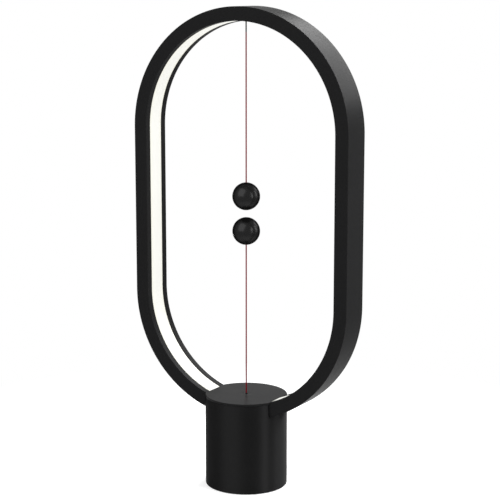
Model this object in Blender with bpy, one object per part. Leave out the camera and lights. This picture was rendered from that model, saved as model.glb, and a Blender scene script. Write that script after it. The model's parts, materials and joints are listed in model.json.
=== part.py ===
"""A balance lamp: an upright oval ring of light in a round base, switched by two magnetic balls on strings.

Units are metres, +Z is up, -Y is the front. The origin is the middle of the footprint, on the table.
The ring is a closed channel, open towards its inside, that holds an LED strip and a diffuser. Its lowest
arc stands on a saddle in the base. The upper ball hangs from the ring, the lower ball's string runs
through the base's top to a slider, and the slider works a switch.
"""

import math

import bmesh
import bpy
from mathutils import Matrix, Vector

# Clearance between pieces that touch, and how far a cutter runs past what it cuts
GAP = 0.0003
OVERRUN = 0.002

# Ring: an oval of two half circles and two straight sides
RING_WIDTH = 0.201
RING_HEIGHT = 0.340
RING_DEPTH = 0.0293
RING_BAND = 0.0116
RING_SINK = 0.0174
RING_EDGE = 0.0004
CHANNEL_FLOOR = 0.0020
CHANNEL_SIDE = 0.0020
RIM_WIDTH = 0.00625
RIM_THICKNESS = 0.0018
ARC_STEPS = 16

# Diffuser and LED strip, both open at the bottom of the ring
DIFFUSER_CROWN = 0.0002
FLANGE_REACH = 0.0022
FLANGE_THICKNESS = 0.0012
CROWN_SHARES = (1.0, 0.4, -0.4, -1.0)
STRIP_START = 0.018
STRIP_WIDTH = 0.010
STRIP_THICKNESS = 0.0006
LED_COUNT = 44
LED_LENGTH = 0.0035
LED_WIDTH = 0.0028
LED_HEIGHT = 0.0008

# Base: housing, top cap and the slots for the ring
BASE_DIAMETER = 0.069
BASE_HEIGHT = 0.0777
BASE_WALL = 0.0024
BASE_CHAMFER = 0.0005
CAP_THICKNESS = 0.0016
CAP_EDGE_RADIUS = 0.0005
SKIRT_WALL = 0.0018
SKIRT_DEPTH = 0.0040
SLOT_GAP_TOP = 0.0016
SLOT_GAP_BOTTOM = 0.0008
SLOT_GAP_UNDER = 0.0005
DECK_THICKNESS = 0.0040
ROUND_STEPS = 48
INNER_STEPS = 32
HOLE_STEPS = 12
CORNER_STEPS = 3

# Saddle under the ring, and its screws
SADDLE_THICKNESS = 0.0030
SADDLE_LENGTH = 0.046
SADDLE_WIDTH = 0.024
SADDLE_STEPS = 12
SADDLE_SCREW_SPACING = 0.018

# Strings, balls and what holds them
STRING_DIAMETER = 0.0011
STRING_STEPS = 8
BALL_DIAMETER = 0.0230
BALL_GAP = 0.0060
UPPER_STRING_LENGTH = 0.1314
BALL_STEPS = 32
BALL_ARC_STEPS = 11
DOME_STEPS = 3
MAGNET_DIAMETER = 0.012
MAGNET_HEIGHT = 0.006
MAGNET_FLOOR = 0.0034
STRING_CLEARANCE = 0.0003
BALL_KNOT_DIAMETER = 0.0024
KNOT_STEPS = 6
BEND_DIAMETER = 0.0013
BEND_DEPTH = 0.0003
GROMMET_WALL = 0.0005
GROMMET_FLANGE = 0.0009
GROMMET_FLANGE_THICKNESS = 0.0008
GROMMET_BORE = 0.0019
TOP_KNOT_DIAMETER = 0.0026
CAP_HOLE_DIAMETER = 0.0022
CAP_HOLE_ROUND = 0.0004
EYELET_DIAMETER = 0.0050
EYELET_HEIGHT = 0.0026
EYELET_BORE = 0.0019
EYELET_BOSS_WALL = 0.0010

# Switch: frame, slider, return spring, switch and its button
STRING_HOLE_DIAMETER = 0.0020
FRAME_WIDTH = 0.018
FRAME_DEPTH = 0.012
FRAME_WALL = 0.0016
FRAME_HEIGHT_SHARE = 0.325
EAR_LENGTH = 0.0050
EAR_WIDTH = 0.0060
SWITCH_WIDTH = 0.0128
SWITCH_DEPTH = 0.0058
SWITCH_HEIGHT = 0.0060
PIN_WIDTH = 0.0008
PIN_SPACING = 0.0045
PIN_SLOT_WIDTH = 0.0020
PIN_REACH = 0.0019
BUTTON_WIDTH = 0.0060
BUTTON_DEPTH = 0.0030
BUTTON_PROUD = 0.0020
BUTTON_SINK = 0.0022
SLIDER_TRAVEL = 0.0015
SLIDER_DIAMETER = 0.0090
SLIDER_FLANGE = 0.0040
SLIDER_STEM_DIAMETER = 0.0032
CRIMP_DIAMETER = 0.0022
CRIMP_HEIGHT = 0.0020
SPRING_WIRE = 0.0006
SPRING_TURNS = 5
SPRING_TURN_POINTS = 10

# Screws
SCREW_DIAMETER = 0.0024
SCREW_HEAD_DIAMETER = 0.0044
SCREW_HEAD_HEIGHT = 0.0014
SCREW_BITE = 0.0030
SOCKET_DEPTH = 0.0007
SOCKET_WIDTH = 0.0016
BOSS_DIAMETER = 0.0074
BOSS_SINK = 0.0006
BOSS_COUNT = 3
BASE_SCREW_BITE = 0.0080

# Bottom: foot pad, base plate and counterweight
PAD_THICKNESS = 0.0012
PAD_INSET = 0.0005
PAD_PROUD = 0.0003
PLATE_THICKNESS = 0.0024
WEIGHT_CHAMFER = 0.0006
WEIGHT_SCREW_SHARE = 0.5

# Driver board, its components and the USB socket
STANDOFF_HEIGHT = 0.0030
STANDOFF_DIAMETER = 0.0046
BOARD_THICKNESS = 0.0014
BOARD_TONGUE_WIDTH = 0.0110
BOARD_SHARES = {
    "standoff": (0.62, -0.46),
    "chip": (0.0, -0.60),
    "coil": (0.46, 0.56),
    "capacitor": (-0.46, 0.56),
}
CHIP_SIZE = 0.0060
CHIP_HEIGHT = 0.0014
COIL_DIAMETER = 0.0066
COIL_HEIGHT = 0.0034
COIL_WAIST = 0.0006
CAPACITOR_DIAMETER = 0.0050
CAPACITOR_HEIGHT = 0.0064
CAPACITOR_ROUND = 0.0005
LEAD_DIAMETER = 0.0011
LEAD_SPACING_SHARE = 0.58
LEAD_OFFSET = 0.0025
USB_WIDTH = 0.0078
USB_HEIGHT = 0.0028
USB_DEPTH = 0.0056
USB_WALL = 0.0004
USB_TONGUE_HEIGHT = 0.0006
USB_TONGUE_SIDE = 0.0010
USB_RECESS_WIDTH = 0.0116
USB_RECESS_HEIGHT = 0.0074
USB_RECESS_DEPTH = 0.0009

# Ring, worked out
RING_RADIUS = RING_WIDTH / 2
RING_BOTTOM = BASE_HEIGHT - RING_SINK
RING_TOP = RING_BOTTOM + RING_HEIGHT
LOW_CENTRE = RING_BOTTOM + RING_RADIUS
HIGH_CENTRE = RING_TOP - RING_RADIUS
RING_QUARTER = RING_RADIUS * math.pi / 2
RING_STRAIGHT = RING_HEIGHT - RING_WIDTH
RING_HALF = 2 * RING_QUARTER + RING_STRAIGHT
MOUTH_HALF = RING_DEPTH / 2 - RIM_WIDTH
INNER_RADIUS = RING_RADIUS - RING_BAND
FLANGE_TOP = RING_BAND - RIM_THICKNESS - GAP
FLANGE_BACK = FLANGE_TOP - FLANGE_THICKNESS
FACE_INSET = RING_BAND + DIFFUSER_CROWN
STRIP_FACE = CHANNEL_FLOOR + GAP + STRIP_THICKNESS

# Base, worked out
BASE_RADIUS = BASE_DIAMETER / 2
BORE_RADIUS = BASE_RADIUS - BASE_WALL
HOUSING_TOP = BASE_HEIGHT - CAP_THICKNESS - GAP
DECK_TOP = RING_BOTTOM - GAP - SADDLE_THICKNESS - GAP
DECK_UNDER = DECK_TOP - DECK_THICKNESS
CAP_UNDER = BASE_HEIGHT - CAP_THICKNESS
SCREW_HOLE = SCREW_DIAMETER / 2 + GAP
LEAD_SPACING = BASE_DIAMETER * LEAD_SPACING_SHARE

# Strings and balls, worked out
STRING_RADIUS = STRING_DIAMETER / 2
BALL_RADIUS = BALL_DIAMETER / 2
BEND_RADIUS = BEND_DIAMETER / 2
FACE_TOP = RING_TOP - FACE_INSET
UPPER_PIVOT = FACE_TOP - BEND_DEPTH
UPPER_BALL = FACE_TOP - UPPER_STRING_LENGTH - BALL_RADIUS
LOWER_BALL = UPPER_BALL - BALL_DIAMETER - BALL_GAP
LOWER_PIVOT = BASE_HEIGHT - CAP_THICKNESS / 2
EYELET_TOP = CAP_UNDER - GAP
EYELET_UNDER = EYELET_TOP - EYELET_HEIGHT

# Switch, worked out from the deck down
FRAME_TOP = DECK_UNDER - GAP
FRAME_UNDER = FRAME_TOP - BASE_HEIGHT * FRAME_HEIGHT_SHARE
FRAME_CEILING = FRAME_TOP - FRAME_WALL
SWITCH_BOTTOM = FRAME_UNDER + FRAME_WALL + GAP
SWITCH_TOP = SWITCH_BOTTOM + SWITCH_HEIGHT
BUTTON_TOP = SWITCH_TOP + BUTTON_PROUD
SLIDER_BOTTOM = BUTTON_TOP + GAP
SLIDER_SHOULDER = SLIDER_BOTTOM + SLIDER_FLANGE
SLIDER_TOP = FRAME_CEILING - GAP
SPRING_RADIUS = SLIDER_STEM_DIAMETER / 2 + GAP + SPRING_WIRE / 2
CRIMP_TOP = SLIDER_BOTTOM + CRIMP_HEIGHT

# Board under the switch frame, and the weight in the room that is left under it
BOARD_TOP = FRAME_UNDER - PIN_REACH
BOARD_BOTTOM = BOARD_TOP - BOARD_THICKNESS
STANDOFF_BOTTOM = BOARD_BOTTOM - GAP - STANDOFF_HEIGHT
RIM_BOTTOM = PAD_PROUD
PLATE_BOTTOM = PAD_THICKNESS + GAP
PLATE_TOP = PLATE_BOTTOM + PLATE_THICKNESS
WEIGHT_BOTTOM = PLATE_TOP + GAP
WEIGHT_TOP = STANDOFF_BOTTOM - GAP
BOSS_CIRCLE = BORE_RADIUS + BOSS_SINK - BOSS_DIAMETER / 2
WEIGHT_RADIUS = BOSS_CIRCLE - BOSS_DIAMETER / 2 - GAP
USB_BOTTOM = BOARD_TOP + GAP
USB_FACE = BASE_RADIUS - USB_RECESS_DEPTH - GAP
USB_MIDDLE = USB_BOTTOM + USB_HEIGHT / 2

# Finishes: colour, roughness and metallic
FINISHES = {
    "matt_black": ((0.020, 0.020, 0.021), 0.52, 0.0),
    "satin_black": ((0.012, 0.012, 0.013), 0.30, 0.0),
    "light": ((0.93, 0.92, 0.86), 0.45, 0.0),
    "red_string": ((0.115, 0.008, 0.016), 0.85, 0.0),
    "ivory_plastic": ((0.62, 0.60, 0.53), 0.45, 0.0),
    "grey_plastic": ((0.16, 0.16, 0.17), 0.55, 0.0),
    "rubber": ((0.014, 0.014, 0.014), 0.90, 0.0),
    "steel": ((0.52, 0.52, 0.53), 0.32, 1.0),
    "nickel": ((0.62, 0.60, 0.56), 0.22, 1.0),
    "brass": ((0.72, 0.52, 0.22), 0.30, 1.0),
    "green_board": ((0.020, 0.130, 0.055), 0.40, 0.0),
    "white_board": ((0.80, 0.80, 0.78), 0.50, 0.0),
    "ferrite": ((0.045, 0.045, 0.048), 0.60, 0.0),
    "blue_sleeve": ((0.020, 0.045, 0.160), 0.35, 0.0),
    "red_wire": ((0.42, 0.02, 0.02), 0.45, 0.0),
    "black_wire": ((0.015, 0.015, 0.015), 0.45, 0.0),
}
SMOOTH_ANGLE = math.radians(32)
SIDES = ((-1, "left"), (1, "right"))


def clear_scene():
    """Remove every object of the scene."""
    for item in list(bpy.data.objects):
        bpy.data.objects.remove(item, do_unlink=True)


def finish_material(name):
    """The Principled material of one finish."""
    material = bpy.data.materials.get(name)
    if material is None:
        colour, roughness, metallic = FINISHES[name]
        material = bpy.data.materials.new(name)
        material.use_nodes = True
        shader = material.node_tree.nodes["Principled BSDF"]
        shader.inputs["Base Color"].default_value = (*colour, 1.0)
        shader.inputs["Roughness"].default_value = roughness
        shader.inputs["Metallic"].default_value = metallic
    return material


def add_object(name, bm, finish, at=(0, 0, 0)):
    """Make the object of a closed bmesh, with its faces pointing out."""
    bmesh.ops.recalc_face_normals(bm, faces=bm.faces)
    mesh = bpy.data.meshes.new(name)
    bm.to_mesh(mesh)
    bm.free()
    mesh.shade_smooth()
    mesh.set_sharp_from_angle(angle=SMOOTH_ANGLE)
    item = bpy.data.objects.new(name, mesh)
    item.location = at
    bpy.context.collection.objects.link(item)
    if finish is not None:
        mesh.materials.append(finish_material(finish))
    return item


def add_cutter(name, bm, at=(0, 0, 0)):
    """Make a helper solid that only shapes other pieces."""
    item = add_object(name, bm, None, at)
    item.hide_render = True
    item.display_type = "WIRE"
    return item


def combine(item, helpers, operation):
    """Join helper solids to a piece, or cut them out of it, all in one step."""
    group = bpy.data.collections.new(f"{item.name}_{operation.lower()}")
    for helper in helpers:
        group.objects.link(helper)
    modifier = item.modifiers.new(group.name, "BOOLEAN")
    modifier.operation = operation
    modifier.solver = "EXACT"
    modifier.operand_type = "COLLECTION"
    modifier.collection = group


def cut(item, helpers):
    """Cut helper solids out of a piece."""
    combine(item, helpers, "DIFFERENCE")


def fuse(item, helpers):
    """Join helper solids to a piece."""
    combine(item, helpers, "UNION")


def lathe_mesh(profile, steps):
    """Turn a closed outline of (radius, height) points about the Z axis."""
    bm = bmesh.new()
    points = [bm.verts.new((radius, 0, height)) for radius, height in profile]
    edges = [bm.edges.new((a, b)) for a, b in zip(points, points[1:] + points[:1])]
    axis_edges = [e for e in edges if all(v.co.x == 0 for v in e.verts)]
    spun = [e for e in edges if e not in axis_edges]
    bmesh.ops.spin(bm, geom=points + spun, cent=(0, 0, 0), axis=(0, 0, 1), angle=math.tau, steps=steps)
    bmesh.ops.remove_doubles(bm, verts=bm.verts, dist=GAP / 100)
    loose = [e for e in bm.edges if not e.link_faces]
    bmesh.ops.delete(bm, geom=loose, context="EDGES")
    return bm


def cylinder_profile(radius, bottom, top):
    """Outline of a solid cylinder."""
    return [(0, bottom), (radius, bottom), (radius, top), (0, top)]


def ring_profile(inner, outer, bottom, top):
    """Outline of a tube."""
    return [(inner, bottom), (outer, bottom), (outer, top), (inner, top)]


def ball_arc(radius, start, end, steps, middle=0.0):
    """Points on a circle about (0, middle), between two angles from straight down."""
    turns = [start + (end - start) * i / steps for i in range(steps + 1)]
    return [(radius * math.sin(turn), middle - radius * math.cos(turn)) for turn in turns]


def ball_profile(radius, steps, middle=0.0):
    """Outline of a whole ball, its two poles on the axis."""
    arc = ball_arc(radius, 0, math.pi, 2 * steps, middle)
    return [(0, arc[0][1])] + arc[1:-1] + [(0, arc[-1][1])]


def box_mesh(width, depth, bottom, top, middle=(0, 0)):
    """A box about a middle point in plan."""
    bm = bmesh.new()
    size = Matrix.Diagonal((width, depth, top - bottom, 1))
    place = Matrix.Translation((*middle, (bottom + top) / 2))
    bmesh.ops.create_cube(bm, size=1, matrix=place @ size)
    return bm


def hole_cutter(name, radius, bottom, top, at=(0, 0)):
    """A round cutter along Z."""
    return add_cutter(name, lathe_mesh(cylinder_profile(radius, bottom, top), HOLE_STEPS), (*at, 0))


def prism_mesh(outline, half_width):
    """Extrude an outline of (x, z) points along Y, to a half width worked out from each point's height."""
    bm = bmesh.new()
    front = [bm.verts.new((x, -half_width(z), z)) for x, z in outline]
    back = [bm.verts.new((x, half_width(z), z)) for x, z in outline]
    bm.faces.new(front)
    bm.faces.new(back)
    for i in range(len(outline)):
        j = (i + 1) % len(outline)
        bm.faces.new((front[i], front[j], back[j], back[i]))
    return bm


def low_arc(radius, half_length, steps):
    """Points (x, z) along a circle about the centre of the ring's low arc, from left to right."""
    spread = math.asin(half_length / radius)
    turns = [spread * (2 * i / steps - 1) for i in range(steps + 1)]
    return [(radius * math.sin(turn), LOW_CENTRE - radius * math.cos(turn)) for turn in turns]


def ring_frame(distance):
    """Point (x, z) of the ring's outer line and its inward direction, by the way along it from the bottom."""
    way = distance % (2 * RING_HALF)
    side = 1 if way <= RING_HALF else -1
    way = min(way, 2 * RING_HALF - way)
    if way < RING_QUARTER:
        turn = way / RING_RADIUS
        x, z = RING_RADIUS * math.sin(turn), LOW_CENTRE - RING_RADIUS * math.cos(turn)
        inward = (-math.sin(turn), math.cos(turn))
    elif way <= RING_QUARTER + RING_STRAIGHT:
        x, z = RING_RADIUS, LOW_CENTRE + way - RING_QUARTER
        inward = (-1, 0)
    else:
        turn = (way - RING_QUARTER - RING_STRAIGHT) / RING_RADIUS
        x, z = RING_RADIUS * math.cos(turn), HIGH_CENTRE + RING_RADIUS * math.sin(turn)
        inward = (-math.cos(turn), -math.sin(turn))
    return side * x, z, side * inward[0], inward[1]


def ring_ways():
    """Ways along the whole ring at which its arcs are stepped."""
    quarter = [RING_QUARTER * i / ARC_STEPS for i in range(ARC_STEPS + 1)]
    half = quarter + [RING_QUARTER + RING_STRAIGHT + way for way in quarter]
    return half + [2 * RING_HALF - way for way in reversed(half[1:-1])]


def sweep_mesh(section, ways, closed):
    """Carry a section of (depth, inset) points along the ring."""
    bm = bmesh.new()
    rows = []
    for way in ways:
        x, z, inward_x, inward_z = ring_frame(way)
        points = [(x + inward_x * inset, depth, z + inward_z * inset) for depth, inset in section]
        rows.append([bm.verts.new(point) for point in points])
    count = len(section)
    pairs = list(zip(rows, rows[1:]))
    if closed:
        pairs.append((rows[-1], rows[0]))
    for near, far in pairs:
        for i in range(count):
            j = (i + 1) % count
            bm.faces.new((near[i], near[j], far[j], far[i]))
    if not closed:
        bm.faces.new(rows[0])
        bm.faces.new(rows[-1])
    return bm


def mirrored(half):
    """A section's outline from its points on one side, made whole about the ring's middle plane."""
    return half + [(-depth, inset) for depth, inset in reversed(half)]


def make_ring_channel():
    """The closed channel that is the ring, open inwards between two rims."""
    half_depth = RING_DEPTH / 2
    section = mirrored([
        (half_depth - RING_EDGE, 0),
        (half_depth, RING_EDGE),
        (half_depth, RING_BAND - RING_EDGE),
        (half_depth - RING_EDGE, RING_BAND),
        (MOUTH_HALF, RING_BAND),
        (MOUTH_HALF, RING_BAND - RIM_THICKNESS),
        (half_depth - CHANNEL_SIDE, RING_BAND - RIM_THICKNESS),
        (half_depth - CHANNEL_SIDE, CHANNEL_FLOOR),
    ])
    channel = add_object("ring_channel", sweep_mesh(section, ring_ways(), True), "matt_black")
    bottom, top = RING_BOTTOM - OVERRUN, RING_BOTTOM + RING_BAND
    cut(channel, axis_holes("channel", bottom, top))
    return channel


def axis_holes(name, bottom, top):
    """Cutters for the string, the ring's two screws and the two leads, between two heights."""
    holes = [hole_cutter(f"{name}_string_hole", STRING_HOLE_DIAMETER / 2, bottom, top)]
    for side in (-1, 1):
        screw_at = (side * SADDLE_SCREW_SPACING / 2, 0)
        lead_at = (side * LEAD_SPACING / 2, LEAD_OFFSET)
        holes.append(hole_cutter(f"{name}_screw_hole_{side}", SCREW_HOLE, bottom, top, screw_at))
        holes.append(hole_cutter(f"{name}_lead_hole_{side}", LEAD_DIAMETER / 2 + GAP, bottom, top, lead_at))
    return holes


def open_ways(start):
    """Ways along the ring from a start right of its bottom to the same place on the left."""
    inner = [way for way in ring_ways() if start < way < 2 * RING_HALF - start]
    return [start] + inner + [2 * RING_HALF - start]


def make_diffuser():
    """The crowned light strip, with flanges that catch behind the channel's rims."""
    head_half = MOUTH_HALF - GAP
    crown = [(head_half * share, RING_BAND + DIFFUSER_CROWN * (1 - share**2)) for share in CROWN_SHARES]
    flange = mirrored([(MOUTH_HALF + FLANGE_REACH, FLANGE_BACK)])[::-1]
    section = flange + [(MOUTH_HALF + FLANGE_REACH, FLANGE_TOP), (head_half, FLANGE_TOP)] + crown
    section += [(-head_half, FLANGE_TOP), (-MOUTH_HALF - FLANGE_REACH, FLANGE_TOP)]
    diffuser = add_object("diffuser", sweep_mesh(section, open_ways(STRIP_START), False), "light")
    radius = GROMMET_BORE / 2 + GROMMET_WALL + GAP
    low, high = FACE_TOP - OVERRUN, RING_TOP - CHANNEL_FLOOR
    cut(diffuser, [hole_cutter("diffuser_grommet_hole", radius, low, high)])
    return diffuser


def make_led_strip():
    """The strip of LEDs on the channel's floor, each LED drawn up out of the strip."""
    start, end = STRIP_START, 2 * RING_HALF - STRIP_START
    pitch = (end - start) / LED_COUNT
    middles = [start + pitch * (i + 1 / 2) for i in range(LED_COUNT)]
    ways = [start] + [middle + side * LED_LENGTH / 2 for middle in middles for side in (-1, 1)] + [end]
    half_strip, half_led, back = STRIP_WIDTH / 2, LED_WIDTH / 2, CHANNEL_FLOOR + GAP
    section = [(-half_strip, back), (half_strip, back), (half_strip, STRIP_FACE), (half_led, STRIP_FACE)]
    section += [(-half_led, STRIP_FACE), (-half_strip, STRIP_FACE)]
    bm = sweep_mesh(section, ways, False)
    bm.faces.ensure_lookup_table()
    count = len(section)
    chips = [bm.faces[(2 * i + 1) * count + 3] for i in range(LED_COUNT)]
    raised = bmesh.ops.extrude_discrete_faces(bm, faces=chips)["faces"]
    for chip, middle in zip(raised, middles):
        _, _, inward_x, inward_z = ring_frame(middle)
        bmesh.ops.translate(bm, verts=chip.verts, vec=Vector((inward_x, 0, inward_z)) * LED_HEIGHT)
    return add_object("led_strip", bm, "white_board")


def make_upper_anchor():
    """The grommet in the ring's top and the knot that hangs on it."""
    bore = GROMMET_BORE / 2
    tube = bore + GROMMET_WALL
    seat = RING_TOP - FLANGE_BACK + GAP
    flange_top = seat + GROMMET_FLANGE_THICKNESS
    outline = [(bore, FACE_TOP), (tube, FACE_TOP), (tube, seat)]
    outline += [(tube + GROMMET_FLANGE, seat), (tube + GROMMET_FLANGE, flange_top), (bore, flange_top)]
    add_object("upper_grommet", lathe_mesh(outline, HOLE_STEPS), "satin_black")
    knot_radius = TOP_KNOT_DIAMETER / 2
    neck = math.asin(STRING_DIAMETER / TOP_KNOT_DIAMETER)
    middle = flange_top + GAP + knot_radius
    arc = ball_arc(knot_radius, neck, math.pi, KNOT_STEPS, middle)
    tail = UPPER_PIVOT + BEND_RADIUS + GAP
    outline = [(0, tail), (STRING_RADIUS, tail)] + arc[:-1] + [(0, middle + knot_radius)]
    add_object("upper_string_knot", lathe_mesh(outline, STRING_STEPS), "red_string")


def make_string(name, bottom, top):
    """A straight stretch of string on the lamp's axis."""
    profile = cylinder_profile(STRING_RADIUS, 0, top - bottom)
    return add_object(name, lathe_mesh(profile, STRING_STEPS), "red_string", (0, 0, bottom))


def make_bend(name, pivot):
    """The small knot of string that rolls in a mouth, about the joint's centre."""
    profile = ball_profile(BEND_RADIUS, KNOT_STEPS // 2)
    return add_object(name, lathe_mesh(profile, STRING_STEPS), "red_string", (0, 0, pivot))


def make_ball(name, middle, facing):
    """A ball with a magnet near the side that faces the other ball, and a plug where its string goes in.

    The pieces are turned about the ball's own middle, with the string side up, and facing is 1 for
    the upper ball and -1 for the lower one, which is turned over.
    """
    bore = MAGNET_DIAMETER / 2 + GAP
    floor = MAGNET_FLOOR - BALL_RADIUS
    mouth = math.pi - math.asin(bore / BALL_RADIUS)
    arc = ball_arc(BALL_RADIUS, 0, mouth, BALL_ARC_STEPS)
    shell = [(0, -BALL_RADIUS)] + arc[1:] + [(bore, floor), (0, floor)]
    magnet_top = floor + GAP + MAGNET_HEIGHT
    magnet = cylinder_profile(MAGNET_DIAMETER / 2, floor + GAP, magnet_top)
    knot_radius = BALL_KNOT_DIAMETER / 2
    plug_bottom = magnet_top + GAP
    knot_middle = plug_bottom + knot_radius
    hole = STRING_RADIUS + STRING_CLEARANCE
    pocket = knot_radius + GAP
    pocket_top = knot_middle + knot_radius + GAP
    plug_radius = bore - GAP
    plug_turns = math.pi - math.asin(plug_radius / BALL_RADIUS), math.pi - math.asin(hole / BALL_RADIUS)
    dome = ball_arc(BALL_RADIUS, *plug_turns, DOME_STEPS)
    plug = [(pocket, plug_bottom), (plug_radius, plug_bottom)]
    plug += dome + [(hole, pocket_top), (pocket, pocket_top)]
    pieces = [
        ("shell", shell, "satin_black", BALL_STEPS),
        ("magnet", magnet, "nickel", BALL_STEPS),
        ("plug", plug, "satin_black", BALL_STEPS),
        ("knot", ball_profile(knot_radius, KNOT_STEPS // 2, knot_middle), "red_string", STRING_STEPS),
    ]
    for part, profile, finish, steps in pieces:
        outline = [(radius, facing * height) for radius, height in profile]
        add_object(f"{name}_{part}", lathe_mesh(outline, steps), finish, (0, 0, middle))
    return knot_middle + knot_radius + GAP


def make_strings_and_balls():
    """Both balls, both strings, and the bends of string that they swing on."""
    knot_reach = make_ball("upper_ball", UPPER_BALL, 1)
    make_ball("lower_ball", LOWER_BALL, -1)
    make_bend("upper_string_bend", UPPER_PIVOT)
    make_bend("lower_string_bend", LOWER_PIVOT)
    make_string("upper_string", UPPER_BALL + knot_reach, UPPER_PIVOT - BEND_RADIUS - GAP)
    make_string("lower_string", LOWER_PIVOT + BEND_RADIUS + GAP, LOWER_BALL - knot_reach)
    make_string("inner_string", CRIMP_TOP + GAP, LOWER_PIVOT - BEND_RADIUS - GAP)


def boss_places():
    """Places in plan of the bosses round the base's wall, the first at the front."""
    turns = [math.tau * i / BOSS_COUNT - math.pi / 2 for i in range(BOSS_COUNT)]
    return [(BOSS_CIRCLE * math.cos(turn), BOSS_CIRCLE * math.sin(turn)) for turn in turns]


def slot_half_width(height):
    """Half the width of the slot for the ring, which opens a little towards its top."""
    share = (height - RING_BOTTOM) / (BASE_HEIGHT - RING_BOTTOM)
    return RING_DEPTH / 2 + SLOT_GAP_BOTTOM + (SLOT_GAP_TOP - SLOT_GAP_BOTTOM) * share


def slot_cutter():
    """The drafted slot for the ring across the housing's wall, its floor along the ring's outer arc."""
    reach = BASE_RADIUS + OVERRUN
    floor = low_arc(RING_RADIUS + SLOT_GAP_UNDER, reach, SADDLE_STEPS)
    top = BASE_HEIGHT + OVERRUN
    outline = floor + [(floor[-1][0], top), (floor[0][0], top)]
    return add_cutter("slot_cutter", prism_mesh(outline, slot_half_width))


def make_base_housing():
    """The base's wall with its deck, bosses, ring slots and USB opening."""
    outline = [
        (BORE_RADIUS, RIM_BOTTOM),
        (BASE_RADIUS - BASE_CHAMFER, RIM_BOTTOM),
        (BASE_RADIUS, RIM_BOTTOM + BASE_CHAMFER),
        (BASE_RADIUS, HOUSING_TOP),
        (BORE_RADIUS, HOUSING_TOP),
        (BORE_RADIUS, DECK_TOP),
        (0, DECK_TOP),
        (0, DECK_UNDER),
        (BORE_RADIUS, DECK_UNDER),
    ]
    housing = add_object("base_housing", lathe_mesh(outline, ROUND_STEPS), "matt_black")
    boss = cylinder_profile(BOSS_DIAMETER / 2, PLATE_TOP + GAP, DECK_UNDER + OVERRUN / 2)
    fuse(housing, [
        add_cutter(f"boss_{i}", lathe_mesh(boss, HOLE_STEPS), (*place, 0))
        for i, place in enumerate(boss_places())
    ])
    pilot_top = PLATE_TOP + BASE_SCREW_BITE + OVERRUN
    holes = [
        hole_cutter(f"boss_hole_{i}", SCREW_HOLE, PLATE_BOTTOM, pilot_top, place)
        for i, place in enumerate(boss_places())
    ]
    bottom, top = DECK_UNDER - OVERRUN, DECK_TOP + OVERRUN
    holes += [
        hole_cutter(f"deck_frame_hole_{side}", SCREW_HOLE, bottom, top, (side * frame_screw_x(), 0))
        for side in (-1, 1)
    ]
    cut(housing, holes + axis_holes("deck", bottom, top) + [slot_cutter(), *usb_cutters()])
    return housing


def usb_cutters():
    """The USB opening through the back wall, and the shallow recess that lets a plug's grip in."""
    recess_back = BASE_RADIUS - USB_RECESS_DEPTH
    port_depth = BASE_WALL + 2 * OVERRUN
    port_at = (0, BASE_RADIUS - port_depth / 2 + OVERRUN)
    low, high = USB_BOTTOM - GAP, USB_BOTTOM + USB_HEIGHT + GAP
    port = box_mesh(USB_WIDTH + 2 * GAP, port_depth, low, high, port_at)
    low, high = USB_MIDDLE - USB_RECESS_HEIGHT / 2, USB_MIDDLE + USB_RECESS_HEIGHT / 2
    recess = box_mesh(USB_RECESS_WIDTH, 2 * OVERRUN, low, high, (0, recess_back + OVERRUN))
    return add_cutter("usb_port_cutter", port), add_cutter("usb_recess_cutter", recess)


def make_top_cap():
    """The base's top disc with its skirt, cut away where the ring rises through it."""
    skirt_outer = BORE_RADIUS - GAP
    skirt_inner = skirt_outer - SKIRT_WALL
    outline = [
        (0, CAP_UNDER),
        (skirt_inner, CAP_UNDER),
        (skirt_inner, CAP_UNDER - SKIRT_DEPTH),
        (skirt_outer, CAP_UNDER - SKIRT_DEPTH),
        (skirt_outer, CAP_UNDER),
        (BASE_RADIUS, CAP_UNDER),
        *round_corner(BASE_RADIUS, BASE_HEIGHT, CAP_EDGE_RADIUS, 1),
        (0, BASE_HEIGHT),
    ]
    cap = add_object("top_cap", lathe_mesh(outline, ROUND_STEPS), "matt_black")
    socket = EYELET_DIAMETER / 2 + GAP
    boss = cylinder_profile(socket + EYELET_BOSS_WALL, EYELET_UNDER, CAP_UNDER + CAP_THICKNESS / 2)
    fuse(cap, [add_cutter("eyelet_boss", lathe_mesh(boss, 2 * HOLE_STEPS))])
    hole = CAP_HOLE_DIAMETER / 2
    mouth = [
        (0, EYELET_UNDER - OVERRUN),
        (socket, EYELET_UNDER - OVERRUN),
        (socket, CAP_UNDER),
        (hole, CAP_UNDER),
        *round_corner(hole, BASE_HEIGHT, CAP_HOLE_ROUND, -1),
        (hole + CAP_HOLE_ROUND, BASE_HEIGHT + OVERRUN),
        (0, BASE_HEIGHT + OVERRUN),
    ]
    cut(cap, [
        add_cutter("eyelet_socket", lathe_mesh(mouth, 2 * HOLE_STEPS)),
        ring_clearance("cap_rim_cutter", INNER_RADIUS - GAP, RING_DEPTH / 2 + GAP),
        ring_clearance("cap_face_cutter", RING_RADIUS - FACE_INSET - GAP, MOUTH_HALF + GAP),
    ])
    return cap


def round_corner(radius, height, rounding, side):
    """A rounded top corner of an outline, from wall to top: an outside edge if side is 1, a mouth if -1."""
    turns = [i * math.pi / 2 / CORNER_STEPS for i in range(CORNER_STEPS + 1)]
    across, up = radius - side * rounding, height - rounding
    return [(across + side * rounding * math.cos(turn), up + rounding * math.sin(turn)) for turn in turns]


def ring_clearance(name, radius, half_width):
    """All that lies below a circle about the ring's low centre, as wide as the ring."""
    arc = low_arc(radius, BASE_RADIUS + OVERRUN, 2 * SADDLE_STEPS)
    bottom = RING_BOTTOM - OVERRUN
    outline = arc + [(arc[-1][0], bottom), (arc[0][0], bottom)]
    return add_cutter(name, prism_mesh(outline, lambda height: half_width))


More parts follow.
